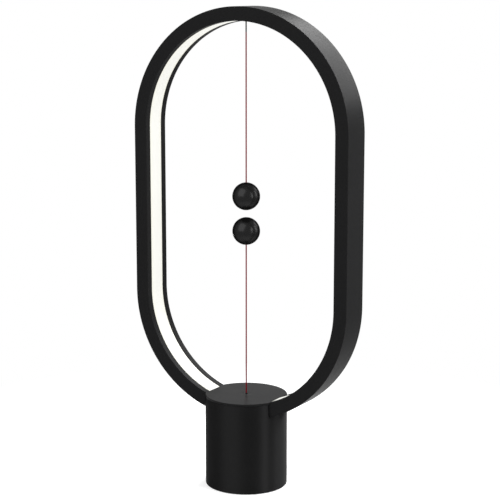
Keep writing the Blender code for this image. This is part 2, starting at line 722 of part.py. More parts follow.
def make_eyelet():
    """The guide under the hole in the cap, rounded where the string runs in."""
    bore, radius = EYELET_BORE / 2, EYELET_DIAMETER / 2
    outline = ring_profile(bore, radius, EYELET_UNDER, EYELET_TOP)
    add_object("string_eyelet", lathe_mesh(outline, HOLE_STEPS), "brass")


def make_saddle():
    """The block between the deck and the ring's lowest arc, with its screws down through the ring."""
    arc = low_arc(RING_RADIUS + GAP, SADDLE_LENGTH / 2, SADDLE_STEPS)
    bottom = DECK_TOP + GAP
    outline = arc + [(arc[-1][0], bottom), (arc[0][0], bottom)]
    saddle = add_object("ring_saddle", prism_mesh(outline, lambda height: SADDLE_WIDTH / 2), "grey_plastic")
    cut(saddle, axis_holes("saddle", bottom - OVERRUN, RING_BOTTOM + RING_BAND))
    screw_x = SADDLE_SCREW_SPACING / 2
    seat = channel_floor_height(screw_x + SCREW_HEAD_DIAMETER / 2) + GAP
    for side, word in SIDES:
        make_screw(f"ring_screw_{word}", seat, seat - DECK_TOP + SCREW_BITE, (side * screw_x, 0), True)


def channel_floor_height(x):
    """Height of the channel's floor in the ring's low arc, a way out from the middle."""
    return LOW_CENTRE - math.sqrt((RING_RADIUS - CHANNEL_FLOOR) ** 2 - x**2)


def make_screw(name, seat, length, place, head_up):
    """A socket head screw from the seat of its head, its head above or below the seat."""
    head, shank = SCREW_HEAD_DIAMETER / 2, SCREW_DIAMETER / 2
    socket = SOCKET_WIDTH / 2
    way = 1 if head_up else -1
    outline = [
        (0, -length),
        (shank, -length),
        (shank, 0),
        (head, 0),
        (head, SCREW_HEAD_HEIGHT),
        (socket, SCREW_HEAD_HEIGHT),
        (socket, SCREW_HEAD_HEIGHT - SOCKET_DEPTH),
        (0, SCREW_HEAD_HEIGHT - SOCKET_DEPTH),
    ]
    turned = [(radius, way * height) for radius, height in outline]
    return add_object(name, lathe_mesh(turned, HOLE_STEPS), "steel", (*place, seat))


def frame_screw_x():
    """How far each ear's screw is from the frame's middle."""
    return FRAME_WIDTH / 2 + FRAME_WALL + EAR_LENGTH / 2


def make_switch_frame():
    """The open frame under the deck that guides the slider and carries the switch."""
    outer, inner = FRAME_WIDTH / 2 + FRAME_WALL, FRAME_WIDTH / 2
    block = box_mesh(2 * outer, FRAME_DEPTH, FRAME_UNDER, FRAME_TOP)
    frame = add_object("switch_frame", block, "grey_plastic")
    ears = box_mesh(2 * (outer + EAR_LENGTH), EAR_WIDTH, FRAME_CEILING, FRAME_TOP)
    fuse(frame, [add_cutter("frame_ears", ears)])
    window = box_mesh(2 * inner, FRAME_DEPTH + 2 * OVERRUN, FRAME_UNDER + FRAME_WALL, FRAME_CEILING)
    slot_length = 2 * PIN_SPACING + PIN_SLOT_WIDTH
    low, high = FRAME_UNDER - OVERRUN, FRAME_UNDER + FRAME_WALL + OVERRUN
    pin_slot = box_mesh(slot_length, PIN_SLOT_WIDTH, low, high)
    low, high = FRAME_CEILING - OVERRUN, FRAME_TOP + OVERRUN
    openings = [add_cutter("frame_window", window), add_cutter("frame_pin_slot", pin_slot)]
    openings.append(hole_cutter("frame_string_hole", STRING_HOLE_DIAMETER / 2, low, high))
    for side, word in SIDES:
        place = (side * frame_screw_x(), 0)
        openings.append(hole_cutter(f"frame_screw_hole_{side}", SCREW_HOLE, low, high, place))
        length = FRAME_WALL + 2 * GAP + SCREW_BITE
        make_screw(f"frame_screw_{word}", FRAME_CEILING - GAP, length, place, False)
    cut(frame, openings)
    return frame


def make_switch():
    """The switch on the frame's floor, its three pins down to the board, and its button."""
    case = box_mesh(SWITCH_WIDTH, SWITCH_DEPTH, SWITCH_BOTTOM, SWITCH_TOP)
    body = add_object("micro_switch", case, "ferrite")
    low, high = BOARD_TOP + GAP, SWITCH_BOTTOM + PIN_WIDTH
    pins = [box_mesh(PIN_WIDTH, PIN_WIDTH, low, high, (i * PIN_SPACING, 0)) for i in (-1, 0, 1)]
    fuse(body, [add_cutter(f"switch_pin_{i}", pin) for i, pin in enumerate(pins)])
    well_bottom = SWITCH_TOP - BUTTON_SINK - GAP
    well = box_mesh(BUTTON_WIDTH + 2 * GAP, BUTTON_DEPTH + 2 * GAP, well_bottom, SWITCH_TOP + OVERRUN)
    cut(body, [add_cutter("button_well", well)])
    button = box_mesh(BUTTON_WIDTH, BUTTON_DEPTH, SLIDER_TRAVEL - BUTTON_SINK, BUTTON_PROUD)
    add_object("switch_button", button, "red_wire", (0, 0, SWITCH_TOP))
    return body


def make_slider():
    """The slider that the lower string lifts, the crimp on the string's end, and the return spring."""
    flange, stem = SLIDER_DIAMETER / 2, SLIDER_STEM_DIAMETER / 2
    bore = STRING_RADIUS + STRING_CLEARANCE
    pocket = CRIMP_DIAMETER / 2 + GAP
    height, shoulder = SLIDER_TOP - SLIDER_BOTTOM, SLIDER_FLANGE
    outline = [
        (pocket, 0),
        (flange, 0),
        (flange, shoulder),
        (stem, shoulder),
        (stem, height),
        (bore, height),
        (bore, CRIMP_HEIGHT + GAP),
        (pocket, CRIMP_HEIGHT + GAP),
    ]
    add_object("pull_slider", lathe_mesh(outline, HOLE_STEPS), "ivory_plastic", (0, 0, SLIDER_BOTTOM))
    crimp = cylinder_profile(CRIMP_DIAMETER / 2, 0, CRIMP_HEIGHT)
    add_object("string_crimp", lathe_mesh(crimp, HOLE_STEPS), "brass", (0, 0, SLIDER_BOTTOM))
    make_spring(SLIDER_SHOULDER + GAP, FRAME_CEILING - GAP)


def make_spring(bottom, top):
    """A coil round the slider's stem, between the slider's shoulder and the frame's ceiling."""
    wire = SPRING_WIRE / 2
    low, rise = bottom + wire, top - bottom - SPRING_WIRE
    count = SPRING_TURNS * SPRING_TURN_POINTS
    curve = bpy.data.curves.new("return_spring", "CURVE")
    curve.dimensions = "3D"
    curve.bevel_depth = wire
    curve.bevel_resolution = 1
    curve.use_fill_caps = True
    spline = curve.splines.new("POLY")
    spline.points.add(count)
    for i, point in enumerate(spline.points):
        turn = math.tau * i / SPRING_TURN_POINTS
        across, along = SPRING_RADIUS * math.cos(turn), SPRING_RADIUS * math.sin(turn)
        point.co = (across, along, low + rise * i / count, 1)
    spring = bpy.data.objects.new("return_spring", curve)
    curve.materials.append(finish_material("steel"))
    bpy.context.collection.objects.link(spring)
    print("return spring: least gap between turns", round(rise / SPRING_TURNS - SPRING_WIRE, 5), "m")
    return spring


def make_bottom():
    """Foot pad, base plate, counterweight and their screws."""
    pad_radius = BORE_RADIUS - PAD_INSET
    add_object("foot_pad", lathe_mesh(cylinder_profile(pad_radius, 0, PAD_THICKNESS), ROUND_STEPS), "rubber")
    plate_radius = BORE_RADIUS - GAP
    disc = cylinder_profile(plate_radius, PLATE_BOTTOM, PLATE_TOP)
    plate = add_object("base_plate", lathe_mesh(disc, ROUND_STEPS), "grey_plastic")
    weight_profile = [
        (0, WEIGHT_BOTTOM),
        (WEIGHT_RADIUS - WEIGHT_CHAMFER, WEIGHT_BOTTOM),
        (WEIGHT_RADIUS, WEIGHT_BOTTOM + WEIGHT_CHAMFER),
        (WEIGHT_RADIUS, WEIGHT_TOP - WEIGHT_CHAMFER),
        (WEIGHT_RADIUS - WEIGHT_CHAMFER, WEIGHT_TOP),
        (0, WEIGHT_TOP),
    ]
    weight = add_object("counterweight", lathe_mesh(weight_profile, INNER_STEPS), "steel")
    seat = PLATE_BOTTOM + SCREW_HEAD_HEIGHT
    weight_x = WEIGHT_RADIUS * WEIGHT_SCREW_SHARE
    places = [(f"base_screw_{i + 1}", place, BASE_SCREW_BITE) for i, place in enumerate(boss_places())]
    places += [(f"weight_screw_{word}", (side * weight_x, 0), SCREW_BITE) for side, word in SIDES]
    thread_top = WEIGHT_BOTTOM + SCREW_BITE + OVERRUN
    cut(weight, [
        hole_cutter(f"{name}_thread", SCREW_HOLE, WEIGHT_BOTTOM - OVERRUN, thread_top, place)
        for name, place, _ in places[BOSS_COUNT:]
    ])
    cut(plate, [countersink(f"{name}_hole", seat + GAP, place) for name, place, _ in places])
    for name, place, bite in places:
        make_screw(name, seat, PLATE_TOP - seat + GAP + bite, place, False)
    return plate, weight


def countersink(name, seat, place):
    """Cutter for a screw's head and shank, up through the base plate."""
    head = SCREW_HEAD_DIAMETER / 2 + GAP
    outline = [
        (0, PLATE_BOTTOM - OVERRUN),
        (head, PLATE_BOTTOM - OVERRUN),
        (head, seat),
        (SCREW_HOLE, seat),
        (SCREW_HOLE, PLATE_TOP + OVERRUN),
        (0, PLATE_TOP + OVERRUN),
    ]
    return add_cutter(name, lathe_mesh(outline, HOLE_STEPS), (*place, 0))


def board_place(name, side=1):
    """Place in plan of something on the board, from its shares of the board's radius."""
    share_x, share_y = BOARD_SHARES[name]
    return side * share_x * WEIGHT_RADIUS, share_y * WEIGHT_RADIUS


def make_board():
    """The driver board on its standoffs, with its screws, components, leads and USB socket."""
    disc = cylinder_profile(WEIGHT_RADIUS, BOARD_BOTTOM, BOARD_TOP)
    board = add_object("driver_board", lathe_mesh(disc, INNER_STEPS), "green_board")
    tongue_end = BORE_RADIUS - GAP - USB_RECESS_DEPTH
    tongue = box_mesh(BOARD_TONGUE_WIDTH, tongue_end, BOARD_BOTTOM, BOARD_TOP, (0, tongue_end / 2))
    fuse(board, [add_cutter("board_tongue", tongue)])
    low, high = BOARD_BOTTOM - OVERRUN, BOARD_TOP + OVERRUN
    cut(board, [
        hole_cutter(f"board_screw_hole_{side}", SCREW_HOLE, low, high, board_place("standoff", side))
        for side, _ in SIDES
    ])
    seat = BOARD_TOP + GAP
    lead_x = LEAD_SPACING / 2
    lead_top = channel_floor_height(lead_x - LEAD_DIAMETER) - GAP
    for side, word in SIDES:
        place = board_place("standoff", side)
        standoff = lathe_mesh(ring_profile(SCREW_HOLE, STANDOFF_DIAMETER / 2, 0, STANDOFF_HEIGHT), HOLE_STEPS)
        add_object(f"standoff_{word}", standoff, "brass", (*place, STANDOFF_BOTTOM))
        make_screw(f"board_screw_{word}", seat, BOARD_THICKNESS + GAP + SCREW_BITE, place, True)
        finish = "red_wire" if side > 0 else "black_wire"
        lead = lathe_mesh(cylinder_profile(LEAD_DIAMETER / 2, seat, lead_top), STRING_STEPS)
        add_object(f"led_lead_{word}", lead, finish, (side * lead_x, LEAD_OFFSET, 0))
    make_components(seat)
    return board


def make_components(seat):
    """The driver chip, coil, capacitor and USB socket on the board."""
    chip = box_mesh(CHIP_SIZE, CHIP_SIZE, seat, seat + CHIP_HEIGHT, board_place("chip"))
    add_object("driver_chip", chip, "ferrite")
    coil_radius, waist = COIL_DIAMETER / 2, COIL_DIAMETER / 2 - COIL_WAIST
    quarter = COIL_HEIGHT / 4
    coil = [(0, 0), (coil_radius, 0), (coil_radius, quarter), (waist, quarter), (waist, 3 * quarter)]
    coil += [(coil_radius, 3 * quarter), (coil_radius, COIL_HEIGHT), (0, COIL_HEIGHT)]
    add_object("power_coil", lathe_mesh(coil, HOLE_STEPS), "ferrite", (*board_place("coil"), seat))
    can, rounding = CAPACITOR_DIAMETER / 2, CAPACITOR_ROUND
    height = CAPACITOR_HEIGHT
    sleeve = [(0, 0), (can, 0), (can, height - rounding), (can - rounding, height), (0, height)]
    place = (*board_place("capacitor"), seat)
    add_object("smoothing_capacitor", lathe_mesh(sleeve, HOLE_STEPS), "blue_sleeve", place)
    make_usb_socket()


def make_usb_socket():
    """The metal USB socket at the back, a hollow shell with its contact tongue."""
    middle = (0, USB_FACE - USB_DEPTH / 2)
    shell = box_mesh(USB_WIDTH, USB_DEPTH, USB_BOTTOM, USB_BOTTOM + USB_HEIGHT, middle)
    socket = add_object("usb_socket", shell, "nickel")
    hollow_depth = USB_DEPTH - 2 * USB_WALL
    hollow = box_mesh(
        USB_WIDTH - 2 * USB_WALL,
        hollow_depth + OVERRUN,
        USB_BOTTOM + USB_WALL,
        USB_BOTTOM + USB_HEIGHT - USB_WALL,
        (0, USB_FACE + OVERRUN - (hollow_depth + OVERRUN) / 2),
    )
    cut(socket, [add_cutter("usb_hollow", hollow)])
    tongue_width = USB_WIDTH - 2 * USB_WALL - 2 * USB_TONGUE_SIDE
    tongue = box_mesh(
        tongue_width,
        hollow_depth,
        USB_MIDDLE - USB_TONGUE_HEIGHT / 2,
        USB_MIDDLE + USB_TONGUE_HEIGHT / 2,
        (0, USB_FACE - 2 * USB_WALL - hollow_depth / 2),
    )
    fuse(socket, [add_cutter("usb_tongue", tongue)])
    return socket


def main():
    """Build the lamp."""
    clear_scene()
    make_ring_channel()
    make_diffuser()
    make_led_strip()
    make_upper_anchor()
    make_strings_and_balls()
    make_base_housing()
    make_top_cap()
    make_eyelet()
    make_saddle()
    make_switch_frame()
    make_switch()
    make_slider()
    make_bottom()
    make_board()


main()
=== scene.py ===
"""Looks of a balance lamp: an oval ring of light in a round base, with two magnetic balls on strings.

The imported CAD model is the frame. The shell pieces, the light strip, the balls and the strings are made
anew as fine surfaces in the CAD's own places, and every other CAD node gets a worked material.
Units are metres, +Z is up and -Y is the front.
"""

import json
import logging
import math
from dataclasses import dataclass
from enum import Enum
from functools import cache

import bmesh
import bpy
import numpy as np
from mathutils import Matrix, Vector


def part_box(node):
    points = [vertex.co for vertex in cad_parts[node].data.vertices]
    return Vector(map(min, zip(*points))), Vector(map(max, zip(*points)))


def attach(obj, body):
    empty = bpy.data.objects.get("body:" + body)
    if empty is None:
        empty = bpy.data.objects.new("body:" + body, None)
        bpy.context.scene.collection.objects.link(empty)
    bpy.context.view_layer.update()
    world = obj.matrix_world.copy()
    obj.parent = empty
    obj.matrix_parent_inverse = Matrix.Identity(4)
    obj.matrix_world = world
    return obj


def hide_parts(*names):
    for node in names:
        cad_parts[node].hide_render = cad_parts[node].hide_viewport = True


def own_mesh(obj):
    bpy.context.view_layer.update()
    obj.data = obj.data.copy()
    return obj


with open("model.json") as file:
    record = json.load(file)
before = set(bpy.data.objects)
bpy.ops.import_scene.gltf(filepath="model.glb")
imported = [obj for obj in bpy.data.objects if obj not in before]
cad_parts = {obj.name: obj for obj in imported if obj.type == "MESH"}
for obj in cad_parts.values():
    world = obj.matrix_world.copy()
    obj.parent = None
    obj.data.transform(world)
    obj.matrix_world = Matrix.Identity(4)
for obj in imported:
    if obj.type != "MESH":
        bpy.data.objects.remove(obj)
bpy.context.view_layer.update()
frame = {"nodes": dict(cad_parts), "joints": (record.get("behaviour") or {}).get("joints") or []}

Array = np.ndarray
Item = bpy.types.Object
Node = bpy.types.Node
Socket = bpy.types.NodeSocket
Tree = bpy.types.NodeTree
Material = bpy.types.Material
Point = tuple[float, float, float]
Colour = tuple[float, float, float]

LOG = logging.getLogger("lamp")
MERGE = 1e-7  # points nearer to each other than this are one point
SMOOTH_ANGLE = math.radians(35)  # an edge that turns more than this stays sharp
TURN = 2 * math.pi
GAP = 0.0003  # clearance between pieces that lie in one another
OVERRUN = 0.002  # how far a cutter reaches past what it cuts
BRACE = 0.00025  # how far from its two ends a long side gets its extra points
LONG_SIDE = 4 * BRACE  # a side that is longer than this gets them


class Place(Enum):
    """The CAD bodies that pieces ride on."""

    LAMP = "lamp"
    UPPER_BALL = "upper_ball"
    LOWER_BALL = "lower_ball"
    LOWER_STRING = "lower_string"


class Way(Enum):
    """What helper solids do to a piece."""

    JOIN = "UNION"
    CUT = "DIFFERENCE"


# ---- Surfaces ----


def grid_quads(rows: int, columns: int, wrap_rows: bool, wrap_columns: bool) -> Array:
    """Corner indices of the quads of a grid of points.

    Args:
        rows: Number of rows of points.
        columns: Number of points in a row.
        wrap_rows: Whether the last row joins the first.
        wrap_columns: Whether the last column joins the first.

    Returns:
        An array of four indices for each quad.
    """
    row = np.arange(rows if wrap_rows else rows - 1)[:, None]
    column = np.arange(columns if wrap_columns else columns - 1)[None, :]
    next_row, next_column = (row + 1) % rows, (column + 1) % columns
    corners = [row * columns + column, row * columns + next_column]
    corners += [next_row * columns + next_column, next_row * columns + column]
    return np.stack(corners, axis=-1).reshape(-1, 4)


def grid_object(
    name: str, points: Array, wrap_rows: bool = False, wrap_columns: bool = True, uv: Array | None = None
) -> Item:
    """A closed object from a grid of points, its doubles merged and its open ends filled.

    Args:
        name: The object's name.
        points: Rows of points, as an array of rows x columns x 3.
        wrap_rows: Whether the last row joins the first.
        wrap_columns: Whether the last column joins the first.
        uv: One (u, v) for each point, or None.

    Returns:
        The object, with its faces pointing out.
    """
    rows, columns = points.shape[:2]
    quads = grid_quads(rows, columns, wrap_rows, wrap_columns)
    mesh = bpy.data.meshes.new(name)
    mesh.from_pydata(points.reshape(-1, 3), [], quads)
    if uv is not None:
        layer = mesh.uv_layers.new(name="UVMap")
        layer.data.foreach_set("uv", uv.reshape(-1, 2)[quads.ravel()].astype(np.float32).ravel())
    work = bmesh.new()
    work.from_mesh(mesh)
    bmesh.ops.remove_doubles(work, verts=work.verts, dist=MERGE)
    ends = [edge for edge in work.edges if edge.is_boundary]
    if ends:
        bmesh.ops.holes_fill(work, edges=ends, sides=0)
    bmesh.ops.recalc_face_normals(work, faces=work.faces)
    work.to_mesh(mesh)
    work.free()
    item = placed(name, mesh)
    smooth(item)
    return item


def placed(name: str, data: bpy.types.ID) -> Item:
    """Put a new object of a mesh, a lamp or a camera into the scene.

    Args:
        name: The object's name.
        data: What it shows.

    Returns:
        The object.
    """
    item = bpy.data.objects.new(name, data)
    bpy.context.scene.collection.objects.link(item)
    return item


def smooth(item: Item) -> None:
    """Shade an object smooth, with its sharp edges kept."""
    item.data.shade_smooth()
    item.data.set_sharp_from_angle(angle=SMOOTH_ANGLE)


def rounded_outline(corners: Array, radii: Array, steps: int) -> Array:
    """Round the corners of a closed outline with arcs.

    An arc starts and ends at radius / tan(half the corner's angle) from the corner, its centre is on the
    corner's bisector, and the points between are turned evenly from its start to its end.

    Args:
        corners: The outline's corners, as an array of n x 2.
        radii: One radius for each corner, where zero keeps it sharp.
        steps: Number of steps in each arc.

    Returns:
        The outline's points, as an array of m x 2.
    """
    back = np.roll(corners, 1, axis=0) - corners
    ahead = np.roll(corners, -1, axis=0) - corners
    back = back / np.linalg.norm(back, axis=1, keepdims=True)
    ahead = ahead / np.linalg.norm(ahead, axis=1, keepdims=True)
    half = np.arccos(np.clip((back * ahead).sum(axis=1), -1, 1)) / 2
    bisector = back + ahead
    bisector = bisector / np.linalg.norm(bisector, axis=1, keepdims=True)
    centre = corners + bisector * (radii / np.sin(half))[:, None]
    reach = (radii / np.tan(half))[:, None]
    start, end = corners + back * reach - centre, corners + ahead * reach - centre
    spread = (math.pi - 2 * half)[:, None]
    share = np.linspace(0, 1, steps + 1)[None, :]
    first = (np.sin((1 - share) * spread) / np.sin(spread))[:, :, None]
    second = (np.sin(share * spread) / np.sin(spread))[:, :, None]
    arcs = centre[:, None, :] + first * start[:, None, :] + second * end[:, None, :]
    arcs = np.where(radii[:, None, None] > 0, arcs, corners[:, None, :])
    return braced(arcs.reshape(-1, 2))


def braced(outline: Array) -> Array:
    """Keep an outline's flats flat in shading: each long side gets a point a little way from both its ends.

    Args:
        outline: The closed outline's points, as an array of n x 2, where doubles stand for sharp corners.

    Returns:
        The outline without doubles and with those points, as an array of m x 2.
    """
    step = np.linalg.norm(np.roll(outline, -1, axis=0) - outline, axis=1)
    outline = outline[step > MERGE]
    side = np.roll(outline, -1, axis=0) - outline
    length = np.linalg.norm(side, axis=1, keepdims=True)
    brace = side / length * BRACE
    points = np.stack([outline, outline + brace, outline + side - brace], axis=1)
    keep = np.concatenate([length > 0, length > LONG_SIDE, length > LONG_SIDE], axis=1)
    return points[keep]


def turned(profile: Array, steps: int) -> Array:
    """Turn a profile about the Z axis: x = r cos(t), y = r sin(t), z = h.

    Args:
        profile: (radius, height) points, as an array of n x 2.
        steps: Number of steps round the axis.

    Returns:
        Rows of points, one row for each point of the profile.
    """
    turn = np.linspace(0, TURN, steps, endpoint=False)[None, :]
    radius, height = profile[:, :1], profile[:, 1:]
    return np.stack([radius * np.cos(turn), radius * np.sin(turn), height + 0 * turn], axis=-1)


def turned_object(name: str, profile: Array, steps: int, place: Point = (0, 0, 0)) -> Item:
    """An object from a closed profile turned about an upright axis.

    Args:
        name: The object's name.
        profile: (radius, height) points that go round the solid's section, or from axis to axis.
        steps: Number of steps round the axis.
        place: What is added to every point.

    Returns:
        The object.
    """
    closed = bool((profile[:, 0] > 0).all())
    return grid_object(name, turned(profile, steps) + np.array(place), wrap_rows=closed)


def prism_object(name: str, outline: Array, near: Array | float, far: Array | float) -> Item:
    """A solid along Y: an outline of (x, z) points at two depths, or at two for each point.

    Args:
        name: The object's name.
        outline: The outline's points, as an array of n x 2.
        near: Where the solid starts along Y.
        far: Where it ends.

    Returns:
        The object.
    """
    x, z = outline.T
    return grid_object(name, np.stack([np.stack([x, y + 0 * x, z], axis=-1) for y in (near, far)]))


def reshape(item: Item, helpers: list[Item], way: Way) -> None:
    """Join helper solids to a piece, or cut them out of it, and remove the helpers.

    Args:
        item: The piece, whose mesh is exchanged for the result.
        helpers: The helper solids.
        way: Whether they are joined or cut.
    """
    group = bpy.data.collections.new(f"{item.name}_{way.name.lower()}")
    for helper in helpers:
        group.objects.link(helper)
    modifier = item.modifiers.new(group.name, "BOOLEAN")
    modifier.operation, modifier.solver = way.value, "EXACT"
    modifier.operand_type, modifier.collection = "COLLECTION", group
    graph = bpy.context.evaluated_depsgraph_get()
    result = bpy.data.meshes.new_from_object(item.evaluated_get(graph))
    item.modifiers.clear()
    item.data = result
    for helper in helpers:
        bpy.data.objects.remove(helper, do_unlink=True)
    bpy.data.collections.remove(group)
    smooth(item)


# ---- Finishes ----


class Sheet:
    """A node tree, with short ways to add and join its nodes."""

    def __init__(self, tree: Tree) -> None:
        """Keep the tree that is worked on."""
        self.tree = tree

    def add(self, kind: str, *values: object, **inputs: object) -> Node:
        """Add a node, and set its inputs or join sockets to them.

        Args:
            kind: The node's type.
            values: Values or output sockets for its first inputs, in their order.
            inputs: Values or output sockets by input name, with _ for a blank.

        Returns:
            The node.
        """
        node = self.tree.nodes.new(kind)
        for index, value in enumerate(values):
            self.put(node, index, value)
        return self.fill(node, **inputs)

    def fill(self, node: Node, **inputs: object) -> Node:
        """Set a node's inputs, or join sockets to them.

        Args:
            node: The node.
            inputs: Values or output sockets by input name, with _ for a blank.

        Returns:
            The node.
        """
        for name, value in inputs.items():
            self.put(node, name.replace("_", " "), value)
        return node

    def put(self, node: Node, name: str | int, value: object) -> None:
        """Set one input of a node, or join a socket to it.

        Args:
            node: The node.
            name: The input's name or number.
            value: A value or an output socket.
        """
        if isinstance(value, Socket):
            self.tree.links.new(value, node.inputs[name])
        else:
            node.inputs[name].default_value = value

    def maths(self, operation: str, *values: object) -> Socket:
        """Add a Math node.

        Args:
            operation: What it does.
            values: Its values or sockets.

        Returns:
            Its result.
        """
        node = self.add("ShaderNodeMath", *values)
        node.operation = operation
        return node.outputs[0]

    def span(self, value: object, low: float, high: float) -> Socket:
        """A 0 to 1 value, spread from low to high."""
        return self.add("ShaderNodeMapRange", Value=value, To_Min=low, To_Max=high).outputs[0]

    def blend(self, share: object, first: object, second: object) -> Socket:
        """Add a Mix node for colours, whose colour sockets are its inputs 6 and 7 and its output 2.

        Args:
            share: How much of the second colour shows.
            first: The first colour or socket.
            second: The second colour or socket.

        Returns:
            The mixed colour.
        """
        node = self.add("ShaderNodeMix", share)
        node.data_type = "RGBA"
        for index, value in ((6, first), (7, second)):
            self.put(node, index, value if isinstance(value, Socket) else (*value, 1.0))
        return node.outputs[2]

    def noise(self, vector: object, scale: object, detail: float) -> Socket:
        """A noise value at a scale."""
        return self.add("ShaderNodeTexNoise", Vector=vector, Scale=scale, Detail=detail).outputs["Fac"]

    def bump(self, height: object, strength: float, depth: float) -> Socket:
        """The normal of a Bump node on a height."""
        return self.add("ShaderNodeBump", Strength=strength, Distance=depth, Height=height).outputs[0]

    def group(self, tree: Tree, **inputs: object) -> Node:
        """Place a node group.

        Args:
            tree: The group.
            inputs: Values or output sockets by input name.

        Returns:
            The group's node.
        """
        node = self.tree.nodes.new("ShaderNodeGroup")
        node.node_tree = tree
        return self.fill(node, **inputs)

    def background_rays(self) -> Socket:
        """A mask of the rays that see the background: the camera's, gloss and glass.

        Returns:
            The mask, 1 for those rays and 0 for the rays that light the object.
        """
        light = self.add("ShaderNodeLightPath").outputs
        seen = self.maths("MAXIMUM", light["Is Camera Ray"], light["Is Glossy Ray"])
        return self.maths("MAXIMUM", seen, light["Is Transmission Ray"])


def new_group(name: str, inputs: tuple[str, ...], outputs: tuple[str, ...]) -> tuple[Sheet, Node]:
    """A new node group with a Vector input, float inputs and float outputs.

    Args:
        name: The group's name.
        inputs: Names of its float inputs.
        outputs: Names of its float outputs.

    Returns:
        The group's sheet and its input node.
    """
    tree = bpy.data.node_groups.new(name, "ShaderNodeTree")
    tree.interface.new_socket("Vector", in_out="INPUT", socket_type="NodeSocketVector")
    for socket in inputs:
        tree.interface.new_socket(socket, in_out="INPUT", socket_type="NodeSocketFloat")
    for socket in outputs:
        tree.interface.new_socket(socket, in_out="OUTPUT", socket_type="NodeSocketFloat")
    return Sheet(tree), tree.nodes.new("NodeGroupInput")


def close_group(sheet: Sheet, **outputs: Socket) -> Tree:
    """Join a group's results to its outputs."""
    sheet.add("NodeGroupOutput", **outputs)
    return sheet.tree


NOISE_SHARE, PIT_SHARE = 0.6, 0.4  # of the grain's height
PIT_SCALE = 1.6  # how much finer the pits are than the noise
CLOUD_SPREAD = 90.0  # how much broader the clouds are than the noise
SPECK_START, SPECK_FULL = 0.62, 0.75  # the noise at which a speck starts and is full
LINE_STRETCH = 0.04  # scale of drawn lines along X and Y, as a share of that along Z
METAL_CLOUDS = 400.0  # scale of the clouds on metal


def moulded_grain() -> Tree:
    """Spark-eroded grain of a mould: fine pits on a soft noise, with broad clouds for the gloss.

    Returns:
        The group.
    """
    sheet, start = new_group("moulded_grain", ("Pitch",), ("Height", "Clouds"))
    vector, pitch = start.outputs["Vector"], start.outputs["Pitch"]
    noise = sheet.maths("MULTIPLY", sheet.noise(vector, pitch, detail=2.0), NOISE_SHARE)
    pit_scale = sheet.maths("MULTIPLY", pitch, PIT_SCALE)
    pits = sheet.add("ShaderNodeTexVoronoi", Vector=vector, Scale=pit_scale).outputs[0]
    height = sheet.maths("ADD", noise, sheet.maths("MULTIPLY", pits, PIT_SHARE))
    clouds = sheet.noise(vector, sheet.maths("DIVIDE", pitch, CLOUD_SPREAD), detail=3.0)
    return close_group(sheet, Height=height, Clouds=clouds)


def settled_dust() -> Tree:
    """Faint specks on faces that look up: fine noise cut off high, times how far the face looks up.

    Returns:
        The group.
    """
    sheet, start = new_group("settled_dust", ("Pitch",), ("Mask",))
    specks = sheet.noise(start.outputs["Vector"], start.outputs["Pitch"], detail=4.0)
    sharp = sheet.add("ShaderNodeMapRange", specks, SPECK_START, SPECK_FULL).outputs[0]
    normal = sheet.add("ShaderNodeNewGeometry").outputs["Normal"]
    upward = sheet.add("ShaderNodeSeparateXYZ", Vector=normal).outputs[2]
    mask = sheet.maths("MULTIPLY", sharp, sheet.maths("MAXIMUM", upward, 0.0))
    return close_group(sheet, Mask=mask)


def braided_threads() -> Tree:
    """Two sets of threads that wind both ways round a cord: the higher of two slanted sine waves.

    Returns:
        The group.
    """
    sheet, start = new_group("braided_threads", ("Threads", "Picks"), ("Height", "Lay"))
    split = sheet.add("ShaderNodeSeparateXYZ", Vector=start.outputs["Vector"])
    across = sheet.maths("MULTIPLY", split.outputs[0], start.outputs["Threads"])
    along = sheet.maths("MULTIPLY", split.outputs[1], start.outputs["Picks"])
    waves = []
    for operation in ("ADD", "SUBTRACT"):
        turn = sheet.maths("MULTIPLY", sheet.maths(operation, across, along), TURN)
        waves.append(sheet.maths("ABSOLUTE", sheet.maths("SINE", turn)))
    height = sheet.maths("MAXIMUM", *waves)
    lay = sheet.maths("GREATER_THAN", waves[0], waves[1])
    return close_group(sheet, Height=height, Lay=lay)


def drawn_lines() -> Tree:
    """Fine turned or drawn lines in metal: noise that is stretched along the lines.

    Returns:
        The group.
    """
    sheet, start = new_group("drawn_lines", ("Pitch",), ("Height", "Clouds"))
    vector = start.outputs["Vector"]
    drawn = sheet.add("ShaderNodeVectorMath", vector, (LINE_STRETCH, LINE_STRETCH, 1.0))
    drawn.operation = "MULTIPLY"
    lines = sheet.noise(drawn.outputs[0], start.outputs["Pitch"], detail=3.0)
    return close_group(sheet, Height=lines, Clouds=sheet.noise(vector, METAL_CLOUDS, detail=2.0))


class Effects:
    """The node groups that the finishes share, each built once."""

    grain = moulded_grain()
    dust = settled_dust()
    braid = braided_threads()
    lines = drawn_lines()


